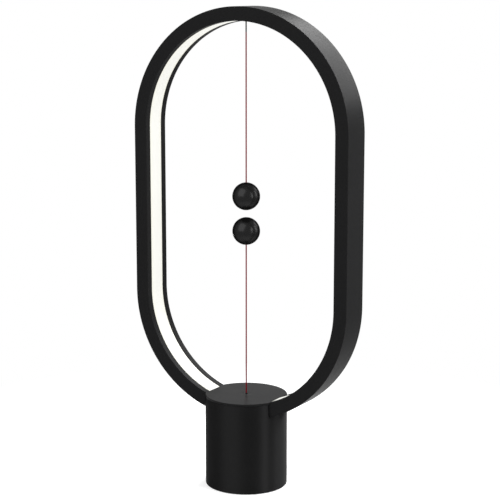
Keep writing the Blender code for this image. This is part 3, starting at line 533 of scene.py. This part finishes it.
@dataclass(frozen=True)
class Plastic:
    """A moulded or painted plastic.

    Its grain gives the bump, broad clouds vary its gloss, and dust dulls what looks up. A lacquer has a
    share of mirror, whose rim is how bright it is where the surface turns away. Stretch draws the gloss
    out, and its quarter turn makes that the way up instead of the way round.
    """

    name: str
    colour: Colour
    roughness: float
    specular: float = 0.5
    pitch: float = 2600.0
    depth: float = 0.00002
    bump: float = 0.25
    gloss_range: float = 0.06
    dust: float = 0.02
    mirror: float = 0.0
    rim: float = 1.0
    stretch: float = 0.0
    stretch_turn: float = 0.25
    pale_gain: float = 1.12
    pale_lift: float = 0.0006
    dust_colour: Colour = (0.32, 0.31, 0.30)
    dust_scale: float = 0.25

    @cache
    def build(self) -> Material:
        """Make the material, once.

        Returns:
            The material.
        """
        material, sheet, shader = new_material(self.name)
        vector = sheet.add("ShaderNodeTexCoord").outputs["Object"]
        grain = sheet.group(Effects.grain, Vector=vector, Pitch=self.pitch).outputs
        specks = sheet.group(Effects.dust, Vector=vector, Pitch=self.pitch * self.dust_scale)
        dust = sheet.maths("MULTIPLY", specks.outputs["Mask"], self.dust)
        pale = tuple(value * self.pale_gain + self.pale_lift for value in self.colour)
        body = sheet.blend(grain["Clouds"], self.colour, pale)
        low, high = self.roughness - self.gloss_range, self.roughness + self.gloss_range
        sheet.fill(
            shader,
            Base_Color=sheet.blend(dust, body, self.dust_colour),
            Roughness=sheet.maths("ADD", sheet.span(grain["Clouds"], low, high), dust),
            Specular_IOR_Level=self.specular,
            Metallic=self.mirror,
            Specular_Tint=(self.rim, self.rim, self.rim, 1.0),
            Anisotropic=self.stretch,
            Anisotropic_Rotation=self.stretch_turn,
            Normal=sheet.bump(grain["Height"], self.bump, self.depth),
        )
        return material


@dataclass(frozen=True)
class Metal:
    """A turned, drawn or plated metal, with fine lines."""

    name: str
    colour: Colour
    roughness: float
    pitch: float = 9000.0
    depth: float = 0.00001
    bump: float = 0.3
    dull_share: float = 0.82
    smoother: float = 0.06
    rougher: float = 0.10

    @cache
    def build(self) -> Material:
        """Make the material, once.

        Returns:
            The material.
        """
        material, sheet, shader = new_material(self.name)
        vector = sheet.add("ShaderNodeTexCoord").outputs["Object"]
        lines = sheet.group(Effects.lines, Vector=vector, Pitch=self.pitch).outputs
        dull = tuple(value * self.dull_share for value in self.colour)
        low, high = self.roughness - self.smoother, self.roughness + self.rougher
        sheet.fill(
            shader,
            Base_Color=sheet.blend(lines["Clouds"], dull, self.colour),
            Metallic=1.0,
            Roughness=sheet.span(lines["Height"], low, high),
            Normal=sheet.bump(lines["Height"], self.bump, self.depth),
        )
        return material


@dataclass(frozen=True)
class LitStrip:
    """An opal diffuser that glows: white in its middle, a little warmer towards its two edges."""

    name: str
    colour: Colour
    glow: Colour
    edge_glow: Colour
    strength: float
    edge_start: float = 0.26
    milky_gain: float = 1.15
    smoothest: float = 0.38
    roughest: float = 0.52
    pitch: float = 1800.0
    bump: float = 0.1
    depth: float = 0.00001

    @cache
    def build(self) -> Material:
        """Make the material, once. Its UV map's first coordinate runs from 0 to 1 across the strip.

        Returns:
            The material.
        """
        material, sheet, shader = new_material(self.name)
        place = sheet.add("ShaderNodeTexCoord").outputs
        across = sheet.add("ShaderNodeSeparateXYZ", Vector=place["UV"]).outputs[0]
        off_middle = sheet.maths("ABSOLUTE", sheet.maths("SUBTRACT", across, 0.5))
        edge = sheet.add("ShaderNodeMapRange", off_middle, self.edge_start, 0.5).outputs[0]
        grain = sheet.group(Effects.grain, Vector=place["Object"], Pitch=self.pitch).outputs
        milky = tuple(value * self.milky_gain for value in self.colour)
        sheet.fill(
            shader,
            Base_Color=sheet.blend(grain["Clouds"], self.colour, milky),
            Roughness=sheet.span(grain["Clouds"], self.smoothest, self.roughest),
            Emission_Color=sheet.blend(edge, self.glow, self.edge_glow),
            Emission_Strength=self.strength,
            Normal=sheet.bump(grain["Height"], self.bump, self.depth),
        )
        return material


@dataclass(frozen=True)
class Braid:
    """A thin braided cord, whose threads follow its UV map, with painted shade on the threads of one lay
    and in the valleys between threads.

    Below and above two heights from its lower end it is bound in black thread.
    """

    name: str
    colour: Colour
    # painted shade: the darker colour that the thread is blended towards on one lay and in its valleys
    painted_shade: Colour
    threads: float
    picks: float
    bound_below: float = -1.0
    bound_above: float = 1.0
    # painted shade: the binding's colour in its valleys, and on the next line its lighter colour on its
    # crests
    binding_low: Colour = (0.006, 0.006, 0.006)
    binding_high: Colour = (0.014, 0.014, 0.014)
    lay_shade: float = 0.35
    valley_shade: float = 0.5
    valley_roughness: float = 0.95
    thread_roughness: float = 0.70
    sheen: float = 0.01
    sheen_roughness: float = 0.5
    specular: float = 0.04
    bump: float = 0.6
    depth: float = 0.00005

    @cache
    def build(self) -> Material:
        """Make the material, once. Its UV map runs round the cord and, in metres, along it.

        Returns:
            The material.
        """
        material, sheet, shader = new_material(self.name)
        vector = sheet.add("ShaderNodeTexCoord").outputs["UV"]
        weave = sheet.group(Effects.braid, Vector=vector, Threads=self.threads, Picks=self.picks)
        height, lay = weave.outputs["Height"], weave.outputs["Lay"]
        # painted shade: where one lay of threads lies on top, the thread colour is blended towards the
        # darker painted shade colour
        lit = sheet.blend(sheet.maths("MULTIPLY", lay, self.lay_shade), self.colour, self.painted_shade)
        # painted shade: the valleys between the threads are blended towards the painted shade colour,
        # darker the lower the thread height
        valley = sheet.maths("MULTIPLY", sheet.span(height, 1.0, 0.0), self.valley_shade)
        thread = sheet.blend(valley, lit, self.painted_shade)
        along = sheet.add("ShaderNodeSeparateXYZ", Vector=vector).outputs[1]
        low = sheet.maths("LESS_THAN", along, self.bound_below)
        high = sheet.maths("GREATER_THAN", along, self.bound_above)
        # painted shade: the black binding is darker in its valleys and lighter on its crests
        binding = sheet.blend(height, self.binding_low, self.binding_high)
        sheet.fill(
            shader,
            Base_Color=sheet.blend(sheet.maths("MAXIMUM", low, high), thread, binding),
            Roughness=sheet.span(height, self.valley_roughness, self.thread_roughness),
            Sheen_Weight=self.sheen,
            Sheen_Roughness=self.sheen_roughness,
            Specular_IOR_Level=self.specular,
            Normal=sheet.bump(height, self.bump, self.depth),
        )
        return material


Finish = Plastic | Metal | LitStrip | Braid


def new_material(name: str) -> tuple[Material, Sheet, Node]:
    """A new material, its sheet and its Principled shader.

    Args:
        name: The material's name.

    Returns:
        The three of them.
    """
    material = bpy.data.materials.new(name)
    material.use_nodes = True
    return material, Sheet(material.node_tree), material.node_tree.nodes["Principled BSDF"]


def dress(item: Item, finish: Finish) -> None:
    """Give an object one finish on all of its faces."""
    item.data.materials.clear()
    item.data.materials.append(finish.build())


MATT_BLACK = Plastic("matt_black", (0.0088, 0.0088, 0.0090), 0.36, specular=0.009)
BASE_BLACK = Plastic(
    "base_black", (0.0136, 0.0136, 0.0138), 0.64, specular=0.0, mirror=0.97, rim=0.55, stretch=0.95
)
CAP_BLACK = Plastic("cap_black", (0.0085, 0.0085, 0.0087), 0.36, specular=0.024, pitch=3200.0, bump=0.10)
BALL_BLACK = Plastic(
    "ball_black", (0.0160, 0.0160, 0.0161), 0.26, specular=0.0, bump=0.01, gloss_range=0.02, dust=0.0,
    mirror=0.78, rim=0.34,
)
GLOW = LitStrip("lit_strip", (0.16, 0.158, 0.145), (1.0, 1.0, 0.95), (1.0, 0.99, 0.86), 0.60)
# Colour of the cords' thread and of the darker painted shade on one lay and in the valleys, threads round
# the cord, and picks in a metre.
CORD_LOOK = (0.172, 0.004, 0.011), (0.112, 0.003, 0.007), 4.0, 900.0
RED_CORD = Braid("red_cord", *CORD_LOOK)
UPPER_CORD = Braid("upper_red_cord", *CORD_LOOK, bound_above=0.1232)
LOWER_CORD = Braid("lower_red_cord", *CORD_LOOK, bound_below=0.0014)
RUBBER = Plastic("foot_rubber", (0.016, 0.016, 0.016), 0.85, specular=0.2, bump=0.5)
IVORY = Plastic("ivory_moulding", (0.62, 0.60, 0.53), 0.45)
GREY = Plastic("grey_moulding", (0.16, 0.16, 0.17), 0.55)
DARK = Plastic("dark_component", (0.045, 0.045, 0.048), 0.60)
BOARD = Plastic("board_resist", (0.020, 0.130, 0.055), 0.40, pitch=900.0)
WHITE_BOARD = Plastic("led_board", (0.80, 0.80, 0.78), 0.50, pitch=900.0)
BLUE = Plastic("blue_sleeve", (0.020, 0.045, 0.160), 0.35)
RED = Plastic("red_sleeve", (0.42, 0.02, 0.02), 0.45)
BLACK = Plastic("black_sleeve", (0.015, 0.015, 0.015), 0.45)
STEEL = Metal("plated_steel", (0.52, 0.52, 0.53), 0.32)
NICKEL = Metal("nickel_plate", (0.62, 0.60, 0.56), 0.24)
BRASS = Metal("turned_brass", (0.72, 0.52, 0.22), 0.30)

NODE_FINISHES = {
    GREY: ("switch_frame", "ring_saddle", "base_plate"),
    RUBBER: ("foot_pad",),
    IVORY: ("pull_slider",),
    DARK: ("micro_switch", "driver_chip", "power_coil"),
    BOARD: ("driver_board",),
    WHITE_BOARD: ("led_strip",),
    BLUE: ("smoothing_capacitor",),
    RED: ("switch_button", "led_lead_right"),
    BLACK: ("led_lead_left",),
    BALL_BLACK: ("upper_grommet",),
    RED_CORD: ("upper_string_knot", "inner_string", "upper_ball_knot", "lower_ball_knot"),
    NICKEL: ("upper_ball_magnet", "lower_ball_magnet", "usb_socket"),
    BRASS: ("string_eyelet", "string_crimp", "standoff_left", "standoff_right"),
    STEEL: (
        "counterweight", "return_spring", "frame_screw_left", "frame_screw_right", "ring_screw_left",
        "ring_screw_right", "base_screw_1", "base_screw_2", "base_screw_3", "weight_screw_left",
        "weight_screw_right", "board_screw_left", "board_screw_right",
    ),
}


def settle(item: Item, place: Place, nodes: tuple[str, ...], finish: Finish) -> None:
    """Dress a piece, put it on its body and hide the CAD nodes that it replaces.

    Args:
        item: The piece.
        place: The CAD body it rides on.
        nodes: The CAD nodes that it replaces.
        finish: Its finish.
    """
    dress(item, finish)
    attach(item, place.value)
    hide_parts(*nodes)
    LOG.info("%s: %d faces, for %s", item.name, len(item.data.polygons), ", ".join(nodes))


# ---- The lamp's sub-assemblies ----


@dataclass(frozen=True)
class RingPath:
    """The oval that the ring follows: two half circles and two straight sides, in the XZ plane."""

    width: float = 0.201
    height: float = 0.340
    bottom: float = 0.0603
    arc_steps: int = 80

    @property
    def radius(self) -> float:
        """Radius of the ring's outer arcs."""
        return self.width / 2

    @property
    def low_centre(self) -> float:
        """Height of the centre of the lowest arc."""
        return self.bottom + self.radius

    @property
    def half_length(self) -> float:
        """Way along the outer line from the bottom to the top."""
        return math.pi * self.radius + self.height - self.width

    def ways(self) -> Array:
        """The steps of the outer line's arcs.

        Returns:
            Ways along the outer line from the bottom, all round.
        """
        quarter = np.linspace(0, math.pi * self.radius / 2, self.arc_steps + 1)
        half = np.concatenate([quarter, quarter + math.pi * self.radius / 2 + self.height - self.width])
        return np.concatenate([half, 2 * self.half_length - half[::-1][1:-1]])

    def carry(self, section: Array, ways: Array) -> Array:
        """Carry a section along the oval: point = outer line + inset x inward normal, with depth along Y.

        On an arc the inward normal points to the arc's centre, and on a straight side to the axis.

        Args:
            section: (depth, inset) points, as an array of n x 2.
            ways: Ways along the outer line from the bottom.

        Returns:
            Rows of points, one row for each way.
        """
        quarter, straight = math.pi * self.radius / 2, self.height - self.width
        side = np.where(ways <= self.half_length, 1.0, -1.0)
        way = np.minimum(ways, 2 * self.half_length - ways)
        turn = np.where(way < quarter, way / self.radius, math.pi / 2)
        turn = np.where(way > quarter + straight, (way - straight) / self.radius, turn)
        centre = np.clip(way - quarter, 0, straight) + self.low_centre
        out_x, out_z = side * np.sin(turn), -np.cos(turn)
        inset, depth = section[None, :, 1], section[None, :, 0]
        reach = self.radius - inset
        x, z = out_x[:, None] * reach, centre[:, None] + out_z[:, None] * reach
        return np.stack([x, depth + 0 * x, z], axis=-1)

    def low_arc(self, radius: float, reach: float, steps: int) -> Array:
        """Points (x, z) on a circle about the centre of the lowest arc, from -reach to reach in x."""
        x = np.linspace(-reach, reach, steps + 1)
        return np.stack([x, self.low_centre - np.sqrt(radius**2 - x**2)], axis=-1)


@dataclass(frozen=True)
class Ring:
    """The ring's channel and the light strip that is caught behind its rims, its crown flush with them."""

    path: RingPath
    depth: float = 0.0293
    band: float = 0.0116
    rim_width: float = 0.00625
    rim_thickness: float = 0.0018
    floor: float = 0.0020
    edge: float = 0.0004
    edge_steps: int = 4
    strip_crown: float = 0.0002
    strip_edge: float = 0.0001
    strip_edge_power: int = 24
    strip_points: int = 17
    flange_reach: float = 0.0022
    flange_thickness: float = 0.0012
    strip_start: float = 0.018

    @property
    def mouth_half(self) -> float:
        """Half the width of the channel's mouth."""
        return self.depth / 2 - self.rim_width

    def build(self) -> None:
        """Make the channel and the strip."""
        half, rim_back = self.depth / 2, self.band - self.rim_thickness
        right = np.array([
            (half, 0.0),
            (half, self.band),
            (self.mouth_half, self.band),
            (self.mouth_half, rim_back),
            (half - self.floor, rim_back),
            (half - self.floor, self.floor),
        ])
        left = right[::-1] * np.array([-1, 1])
        radii = np.array([self.edge, self.edge, self.edge / 2, 0, 0, 0])
        corners, radii = np.concatenate([right, left]), np.concatenate([radii, radii[::-1]])
        section = rounded_outline(corners, radii, self.edge_steps)
        points = self.path.carry(section, self.path.ways())
        channel = grid_object("ring_body", points, wrap_rows=True)
        settle(channel, Place.LAMP, ("ring_channel",), MATT_BLACK)
        settle(self.strip(), Place.LAMP, ("diffuser",), GLOW)

    def strip(self) -> Item:
        """The lit strip, its flanges behind the rims and its head crowned a little.

        Inset = band - crown x share squared - edge x share to a high power, with share from 1 to -1
        across the head.

        Returns:
            The strip's object, its UV map running across and along it.
        """
        head, flange = self.mouth_half - GAP, self.mouth_half + self.flange_reach
        top = self.band - self.rim_thickness - GAP
        back = top - self.flange_thickness
        share = np.linspace(1, -1, self.strip_points)
        sunk = self.strip_edge * np.abs(share) ** self.strip_edge_power
        inset = self.band - self.strip_crown * share**2 - sunk
        crown = np.stack([head * share, inset], axis=-1)
        foot = np.array([(-flange, top), (-flange, back), (flange, back), (flange, top), (head, top)])
        section = np.concatenate([foot, crown, [(-head, top)]])
        start, end = self.strip_start, 2 * self.path.half_length - self.strip_start
        ways = self.path.ways()
        ways = np.concatenate([[start], ways[(ways > start) & (ways < end)], [end]])
        across = (section[:, 0] / head + 1) / 2
        uv = np.stack(np.broadcast_arrays(across[None, :], ways[:, None]), axis=-1)
        return grid_object("light_strip", self.path.carry(section, ways), uv=uv)


@dataclass(frozen=True)
class Base:
    """The base's housing, with its drafted slots for the ring, and the cap over the ring's lowest arc.

    The slot's gaps are those beside the ring, at the base's top and the ring's bottom, and under it.
    """

    ring: Ring
    diameter: float = 0.069
    height: float = 0.0777
    wall: float = 0.0024
    cap: float = 0.0016
    edge: float = 0.0005
    wall_edge_steps: int = 5
    cap_edge_steps: int = 6
    rim_bottom: float = 0.0003
    deck_top: float = 0.0567
    deck: float = 0.0040
    slot_top: float = 0.0016
    slot_bottom: float = 0.0008
    slot_under: float = 0.0005
    slot_steps: int = 48
    skirt: float = 0.0018
    skirt_depth: float = 0.0040
    hole: float = 0.0011
    hole_round: float = 0.0004
    seat: float = 0.0062
    seat_depth: float = 0.00012
    eyelet: float = 0.0028
    eyelet_depth: float = 0.0029
    collar: float = 0.001
    boss: float = 0.0037
    boss_sink: float = 0.0006
    boss_bottom: float = 0.0042
    boss_steps: int = 32
    bosses: int = 3
    recess_half_width: float = 0.0058
    recess_half_height: float = 0.0037
    port_round: float = 0.45
    port_steps: int = 8
    arc_steps: int = 96
    steps: int = 192

    @property
    def radius(self) -> float:
        """Outer radius."""
        return self.diameter / 2

    def build(self) -> None:
        """Make the housing and the cap."""
        settle(self.housing(), Place.LAMP, ("base_housing",), BASE_BLACK)
        settle(self.top(), Place.LAMP, ("top_cap",), CAP_BLACK)

    def housing(self) -> Item:
        """The wall and its deck, with bosses, ring slots and the USB opening.

        Returns:
            The housing's object.
        """
        bore, top = self.radius - self.wall, self.height - self.cap - GAP
        deck_under = self.deck_top - self.deck
        corners = np.array([
            (0, deck_under),
            (bore, deck_under),
            (bore, self.rim_bottom),
            (self.radius, self.rim_bottom),
            (self.radius, top),
            (bore, top),
            (bore, self.deck_top),
            (0, self.deck_top),
        ])
        radii = np.array([0, 0, 0, self.edge, self.edge / 3, 0, 0, 0])
        item = turned_object("base_body", rounded_outline(corners, radii, self.wall_edge_steps), self.steps)
        circle = bore + self.boss_sink - self.boss
        low, high = self.boss_bottom, deck_under + GAP
        boss = np.array([(0, low), (self.boss, low), (self.boss, high), (0, high)])
        turns = np.arange(self.bosses) * TURN / self.bosses - TURN / 4
        places = np.stack([circle * np.cos(turns), circle * np.sin(turns), 0 * turns], axis=-1)
        bosses = [turned_object("boss", boss, self.boss_steps, tuple(place)) for place in places]
        reshape(item, bosses, Way.JOIN)
        reshape(item, [self.slot_cutter(), *self.usb_cutters()], Way.CUT)
        return item

    def slot_cutter(self) -> Item:
        """The room for the ring: half width = half the ring's depth + a gap that grows with height.

        Returns:
            The cutter.
        """
        path = self.ring.path
        floor = path.low_arc(path.radius + self.slot_under, self.radius + OVERRUN, self.slot_steps)
        top = self.height + OVERRUN
        outline = np.concatenate([floor, [(floor[-1, 0], top), (floor[0, 0], top)]])
        share = (outline[:, 1] - path.bottom) / (self.height - path.bottom)
        half = self.ring.depth / 2 + self.slot_bottom + (self.slot_top - self.slot_bottom) * share
        return prism_object("slot", outline, -half, half)

    def usb_cutters(self) -> tuple[Item, Item]:
        """The port round the USB socket and the shallow recess about it, from the socket's CAD box.

        Returns:
            The two cutters.
        """
        low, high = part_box("usb_socket")
        middle = (low.z + high.z) / 2
        inside = self.radius - self.wall - OVERRUN
        port = self.port_cutter("port", (high.x + GAP, (high.z - low.z) / 2 + GAP), middle, inside)
        recess_half = self.recess_half_width, self.recess_half_height
        return port, self.port_cutter("recess", recess_half, middle, high.y + GAP)

    def port_cutter(self, name: str, half: tuple[float, float], middle: float, start: float) -> Item:
        """A rectangle with rounded corners, carried along Y from a start out past the wall.

        Args:
            name: The cutter's name.
            half: Half its width and half its height.
            middle: Height of its middle.
            start: Where it starts along Y.

        Returns:
            The cutter.
        """
        corners = np.array([(-1, -1), (1, -1), (1, 1), (-1, 1)]) * half + (0, middle)
        outline = rounded_outline(corners, np.full(4, half[1] * self.port_round), self.port_steps)
        return prism_object(name, outline, start, self.radius + OVERRUN)

    def top(self) -> Item:
        """The cap: a disc with a rounded edge, a skirt and the string's hole, cut where the ring rises.

        A shallow seat about the hole leaves room for the lower ball when it lies there and leans.

        Returns:
            The cap's object.
        """
        under = self.height - self.cap
        outer = self.radius - self.wall - GAP
        collar, collar_bottom = self.eyelet + self.collar, under - self.eyelet_depth
        corners = np.array([
            (self.seat, self.height),
            (self.hole, self.height - self.seat_depth),
            (self.hole, under),
            (self.eyelet, under),
            (self.eyelet, collar_bottom),
            (collar, collar_bottom),
            (collar, under),
            (outer - self.skirt, under),
            (outer - self.skirt, under - self.skirt_depth),
            (outer, under - self.skirt_depth),
            (outer, under),
            (self.radius, under),
            (self.radius, self.height),
        ])
        radii = np.zeros(len(corners))
        radii[1], radii[-1] = self.hole_round, self.edge
        item = turned_object("base_cap", rounded_outline(corners, radii, self.cap_edge_steps), self.steps)
        reshape(item, [self.ring_room()], Way.CUT)
        return item

    def ring_room(self) -> Item:
        """The room under the cap for the ring's lowest arc: all under a circle inside the ring's band.

        Returns:
            The cutter.
        """
        path, half = self.ring.path, self.ring.depth / 2 + GAP
        arc = path.low_arc(path.radius - self.ring.band - GAP, self.radius + OVERRUN, self.arc_steps)
        bottom = path.bottom - OVERRUN
        outline = np.concatenate([arc, [(arc[-1, 0], bottom), (arc[0, 0], bottom)]])
        return prism_object("ring_room", outline, -half, half)


@dataclass(frozen=True)
class Ball:
    """A painted ball with the small round mouth that its string goes into."""

    name: str
    place: Place
    side: int
    nodes: tuple[str, ...]
    radius: float = 0.0115
    mouth: float = 0.00085
    mouth_round: float = 0.0005
    mouth_depth: float = 0.0024
    mouth_points: int = 6
    profile_points: int = 97
    steps: int = 128

    def build(self, middle: float) -> None:
        """Make the ball about its middle, its mouth up if side is 1 and down if it is -1.

        The profile is a circle: r = R sin(t), h = -R cos(t), up to a torus-rounded mouth and a blind hole.

        Args:
            middle: Height of the ball's middle.
        """
        lip = self.mouth + self.mouth_round
        end = math.pi - math.asin(lip / self.radius)
        turn = np.linspace(0, end, self.profile_points)
        ball = np.stack([self.radius * np.sin(turn), -self.radius * np.cos(turn)], axis=-1)
        ball[0, 0] = 0
        top = -self.radius * math.cos(end)
        bend = np.linspace(0, math.pi / 2, self.mouth_points)[1:]
        inward, down = self.mouth_round * np.sin(bend), self.mouth_round * (1 - np.cos(bend))
        mouth = np.stack([lip - inward, top - down], axis=-1)
        floor = top - self.mouth_depth
        profile = np.concatenate([ball, mouth, [(self.mouth, floor), (0, floor)]])
        profile[:, 1] *= self.side
        item = turned_object(self.name, profile, self.steps, (0, 0, middle))
        settle(item, self.place, self.nodes, BALL_BLACK)


@dataclass(frozen=True)
class Cord:
    """One stretch of the braided string, between a mouth and its ball."""

    name: str
    place: Place
    nodes: tuple[str, ...]
    bottom: float
    top: float
    finish: Braid
    exit_at_top: bool
    diameter: float = 0.0011
    relief: float = 0.04
    sides: int = 20
    pitch: float = 0.0014
    rows_in_pitch: int = 5
    path_points: int = 15

    def build(self) -> Item:
        """Make the string: r = R (1 - relief + relief x the higher of two slanted sine waves).

        Returns:
            The string's object.
        """
        length = self.top - self.bottom
        rows = round(length / (self.pitch / self.rows_in_pitch))
        height = np.linspace(0, length, rows + 1)[:, None]
        turn = np.linspace(0, TURN, self.sides + 1)[None, :]
        wind = height * TURN / self.pitch / 2
        waves = np.abs(np.sin(2 * turn + wind)), np.abs(np.sin(2 * turn - wind))
        radius = self.diameter / 2 * (1 - self.relief + self.relief * np.maximum(*waves))
        x, y, z = radius * np.cos(turn), radius * np.sin(turn), self.bottom + height + 0 * turn
        uv = np.stack(np.broadcast_arrays(turn / TURN, height), axis=-1)
        item = grid_object(self.name, np.stack([x, y, z], axis=-1), wrap_columns=False, uv=uv)
        settle(item, self.place, self.nodes, self.finish)
        path = [(0, 0, float(z)) for z in np.linspace(self.bottom, self.top, self.path_points)]
        return item


@dataclass(frozen=True)
class Balance:
    """The two balls and their strings, which leave the ring and the base at the CAD's heights."""

    upper_middle: float
    lower_middle: float
    drop: float
    upper_exit: float = 0.3883
    lower_exit: float = 0.0769
    entry: float = 0.0108

    def build(self) -> None:
        """Make both balls and both strings."""
        for name, place, side, middle in (
            ("upper_ball", Place.UPPER_BALL, 1, self.upper_middle),
            ("lower_ball", Place.LOWER_BALL, -1, self.lower_middle),
        ):
            Ball(f"{name}_body", place, side, (f"{name}_shell", f"{name}_plug")).build(middle)
        nodes = ("upper_string", "upper_string_bend")
        bottom, top = self.upper_middle + self.entry, self.upper_exit
        Cord("upper_cord", Place.UPPER_BALL, nodes, bottom, top, UPPER_CORD, exit_at_top=True).build()
        nodes = ("lower_string", "lower_string_bend")
        bottom, top = self.lower_exit, self.lower_middle - self.entry
        lower = Cord("lower_cord", Place.LOWER_STRING, nodes, bottom, top, LOWER_CORD, exit_at_top=False)
        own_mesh(lower.build())


# ---- Stage: camera, floor, lamps and world ----


@dataclass(frozen=True)
class Softbox:
    """A large soft lamp, aimed at the middle of the object, whose level is its brightness."""

    name: str
    azimuth: float
    elevation: float
    distance: float
    width: float
    height: float
    level: float
    aim: Point = (0, 0, 0.2)

    def build(self) -> None:
        """Make the lamp where its angles say: azimuth from +X towards +Y, elevation up."""
        turn, lift = math.radians(self.azimuth), math.radians(self.elevation)
        way = np.array([math.cos(turn) * math.cos(lift), math.sin(turn) * math.cos(lift), math.sin(lift)])
        lamp = bpy.data.lights.new(self.name, "AREA")
        lamp.shape, lamp.size, lamp.size_y = "RECTANGLE", self.width, self.height
        lamp.energy = self.level * self.width * self.height * math.pi
        item = placed(self.name, lamp)
        item.location = np.array(self.aim) + way * self.distance
        item.rotation_euler = (math.pi / 2 - lift, 0, turn + math.pi / 2)
        item.visible_camera = False


SOFTBOXES = (
    Softbox("left_box", -107.0, 36.0, 1.8, 1.8, 2.0, 2.8),
    Softbox("right_strip", -6.0, 14.0, 1.9, 0.32, 1.25, 17.0),
    Softbox("far_right_strip", 34.0, 14.0, 1.9, 0.34, 1.25, 10.0),
    Softbox("back_box", 80.0, 26.0, 1.8, 1.50, 0.95, 11.8),
)


@dataclass(frozen=True)
class Studio:
    """The camera and the pale stage that the lamp stands on."""

    camera_place: Point = (0.6105, -1.0372, 0.4182)
    camera_tilt: float = 79.752
    camera_turn: float = 30.332
    lens: float = 106.2
    sensor: float = 36.0
    world_level: float = 0.36
    floor_rings: tuple[float, ...] = (0.0, 0.15, 0.5, 1.2, 3.0)
    floor_sides: int = 96
    floor_tone: float = 0.86
    floor_lift: float = 0.34
    fade_start: float = 0.16
    fade_end: float = 0.40

    def build(self) -> None:
        """Make the camera, the world, the floor and the lamps."""
        camera = bpy.data.cameras.new("camera")
        camera.lens, camera.sensor_width = self.lens, self.sensor
        item = placed("camera", camera)
        item.location = self.camera_place
        item.rotation_euler = (math.radians(self.camera_tilt), 0, math.radians(self.camera_turn))
        bpy.context.scene.camera = item
        bpy.context.scene.view_settings.view_transform = "Standard"
        self.world()
        self.floor()
        for softbox in SOFTBOXES:
            softbox.build()

    def world(self) -> None:
        """A plain soft light, seen as white by the camera and in gloss and glass."""
        world = bpy.data.worlds.new("studio")
        world.use_nodes = True
        bpy.context.scene.world = world
        sheet = Sheet(world.node_tree)
        level = sheet.span(sheet.background_rays(), self.world_level, 1.0)
        sheet.fill(world.node_tree.nodes["Background"], Color=(1, 1, 1, 1), Strength=level)

    def floor(self) -> None:
        """A pale floor that keeps the object's shadow, and turns to plain white far out.

        Near the object it is a diffuse surface with a little white added for the camera, which lifts it
        to white where no shadow falls.
        """
        rings = np.array(self.floor_rings)
        points = turned(np.stack([rings, 0 * rings], axis=-1), self.floor_sides)
        mesh = bpy.data.meshes.new("floor")
        mesh.from_pydata(points.reshape(-1, 3), [], grid_quads(len(rings), self.floor_sides, False, True))
        material = bpy.data.materials.new("pale_floor")
        material.use_nodes = True
        material.node_tree.nodes.clear()
        sheet = Sheet(material.node_tree)
        ground = sheet.add("ShaderNodeBsdfDiffuse", Color=(*(self.floor_tone,) * 3, 1)).outputs[0]
        lift = sheet.add("ShaderNodeEmission", Color=(1, 1, 1, 1), Strength=self.floor_lift).outputs[0]
        white = sheet.add("ShaderNodeEmission", Color=(1, 1, 1, 1), Strength=1.0).outputs[0]
        near = sheet.add("ShaderNodeAddShader", ground, lift).outputs[0]
        place = sheet.add("ShaderNodeTexCoord").outputs["Object"]
        length = sheet.add("ShaderNodeVectorMath", place)
        length.operation = "LENGTH"
        far = length.outputs["Value"]
        fade = sheet.add("ShaderNodeMapRange", far, self.fade_start, self.fade_end).outputs[0]
        shown = sheet.add("ShaderNodeMixShader", fade, near, white).outputs[0]
        mixed = sheet.add("ShaderNodeMixShader", sheet.background_rays(), ground, shown).outputs[0]
        sheet.add("ShaderNodeOutputMaterial", Surface=mixed)
        mesh.materials.append(material)
        placed("floor", mesh)


def main() -> None:
    """Make the stage, the balls on their cords, the ring and the base, and dress the CAD's own nodes."""
    logging.basicConfig(level=logging.INFO, format="%(name)s: %(message)s")
    Studio().build()
    ring = Ring(RingPath())
    base = Base(ring)
    drop = next(joint for joint in frame["joints"] if joint["name"] == "lower_ball_drop")
    upper_low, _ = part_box("upper_ball_shell")
    _, lower_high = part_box("lower_ball_shell")
    Balance(
        upper_middle=upper_low.z + Ball.radius,
        lower_middle=lower_high.z - Ball.radius,
        drop=-drop["range_m"][0],
    ).build()
    ring.build()
    base.build()
    for finish, nodes in NODE_FINISHES.items():
        for node in nodes:
            dress(frame["nodes"][node], finish)
        LOG.info("%s on %s", finish.name, ", ".join(nodes))


if __name__ == "__main__":
    main()
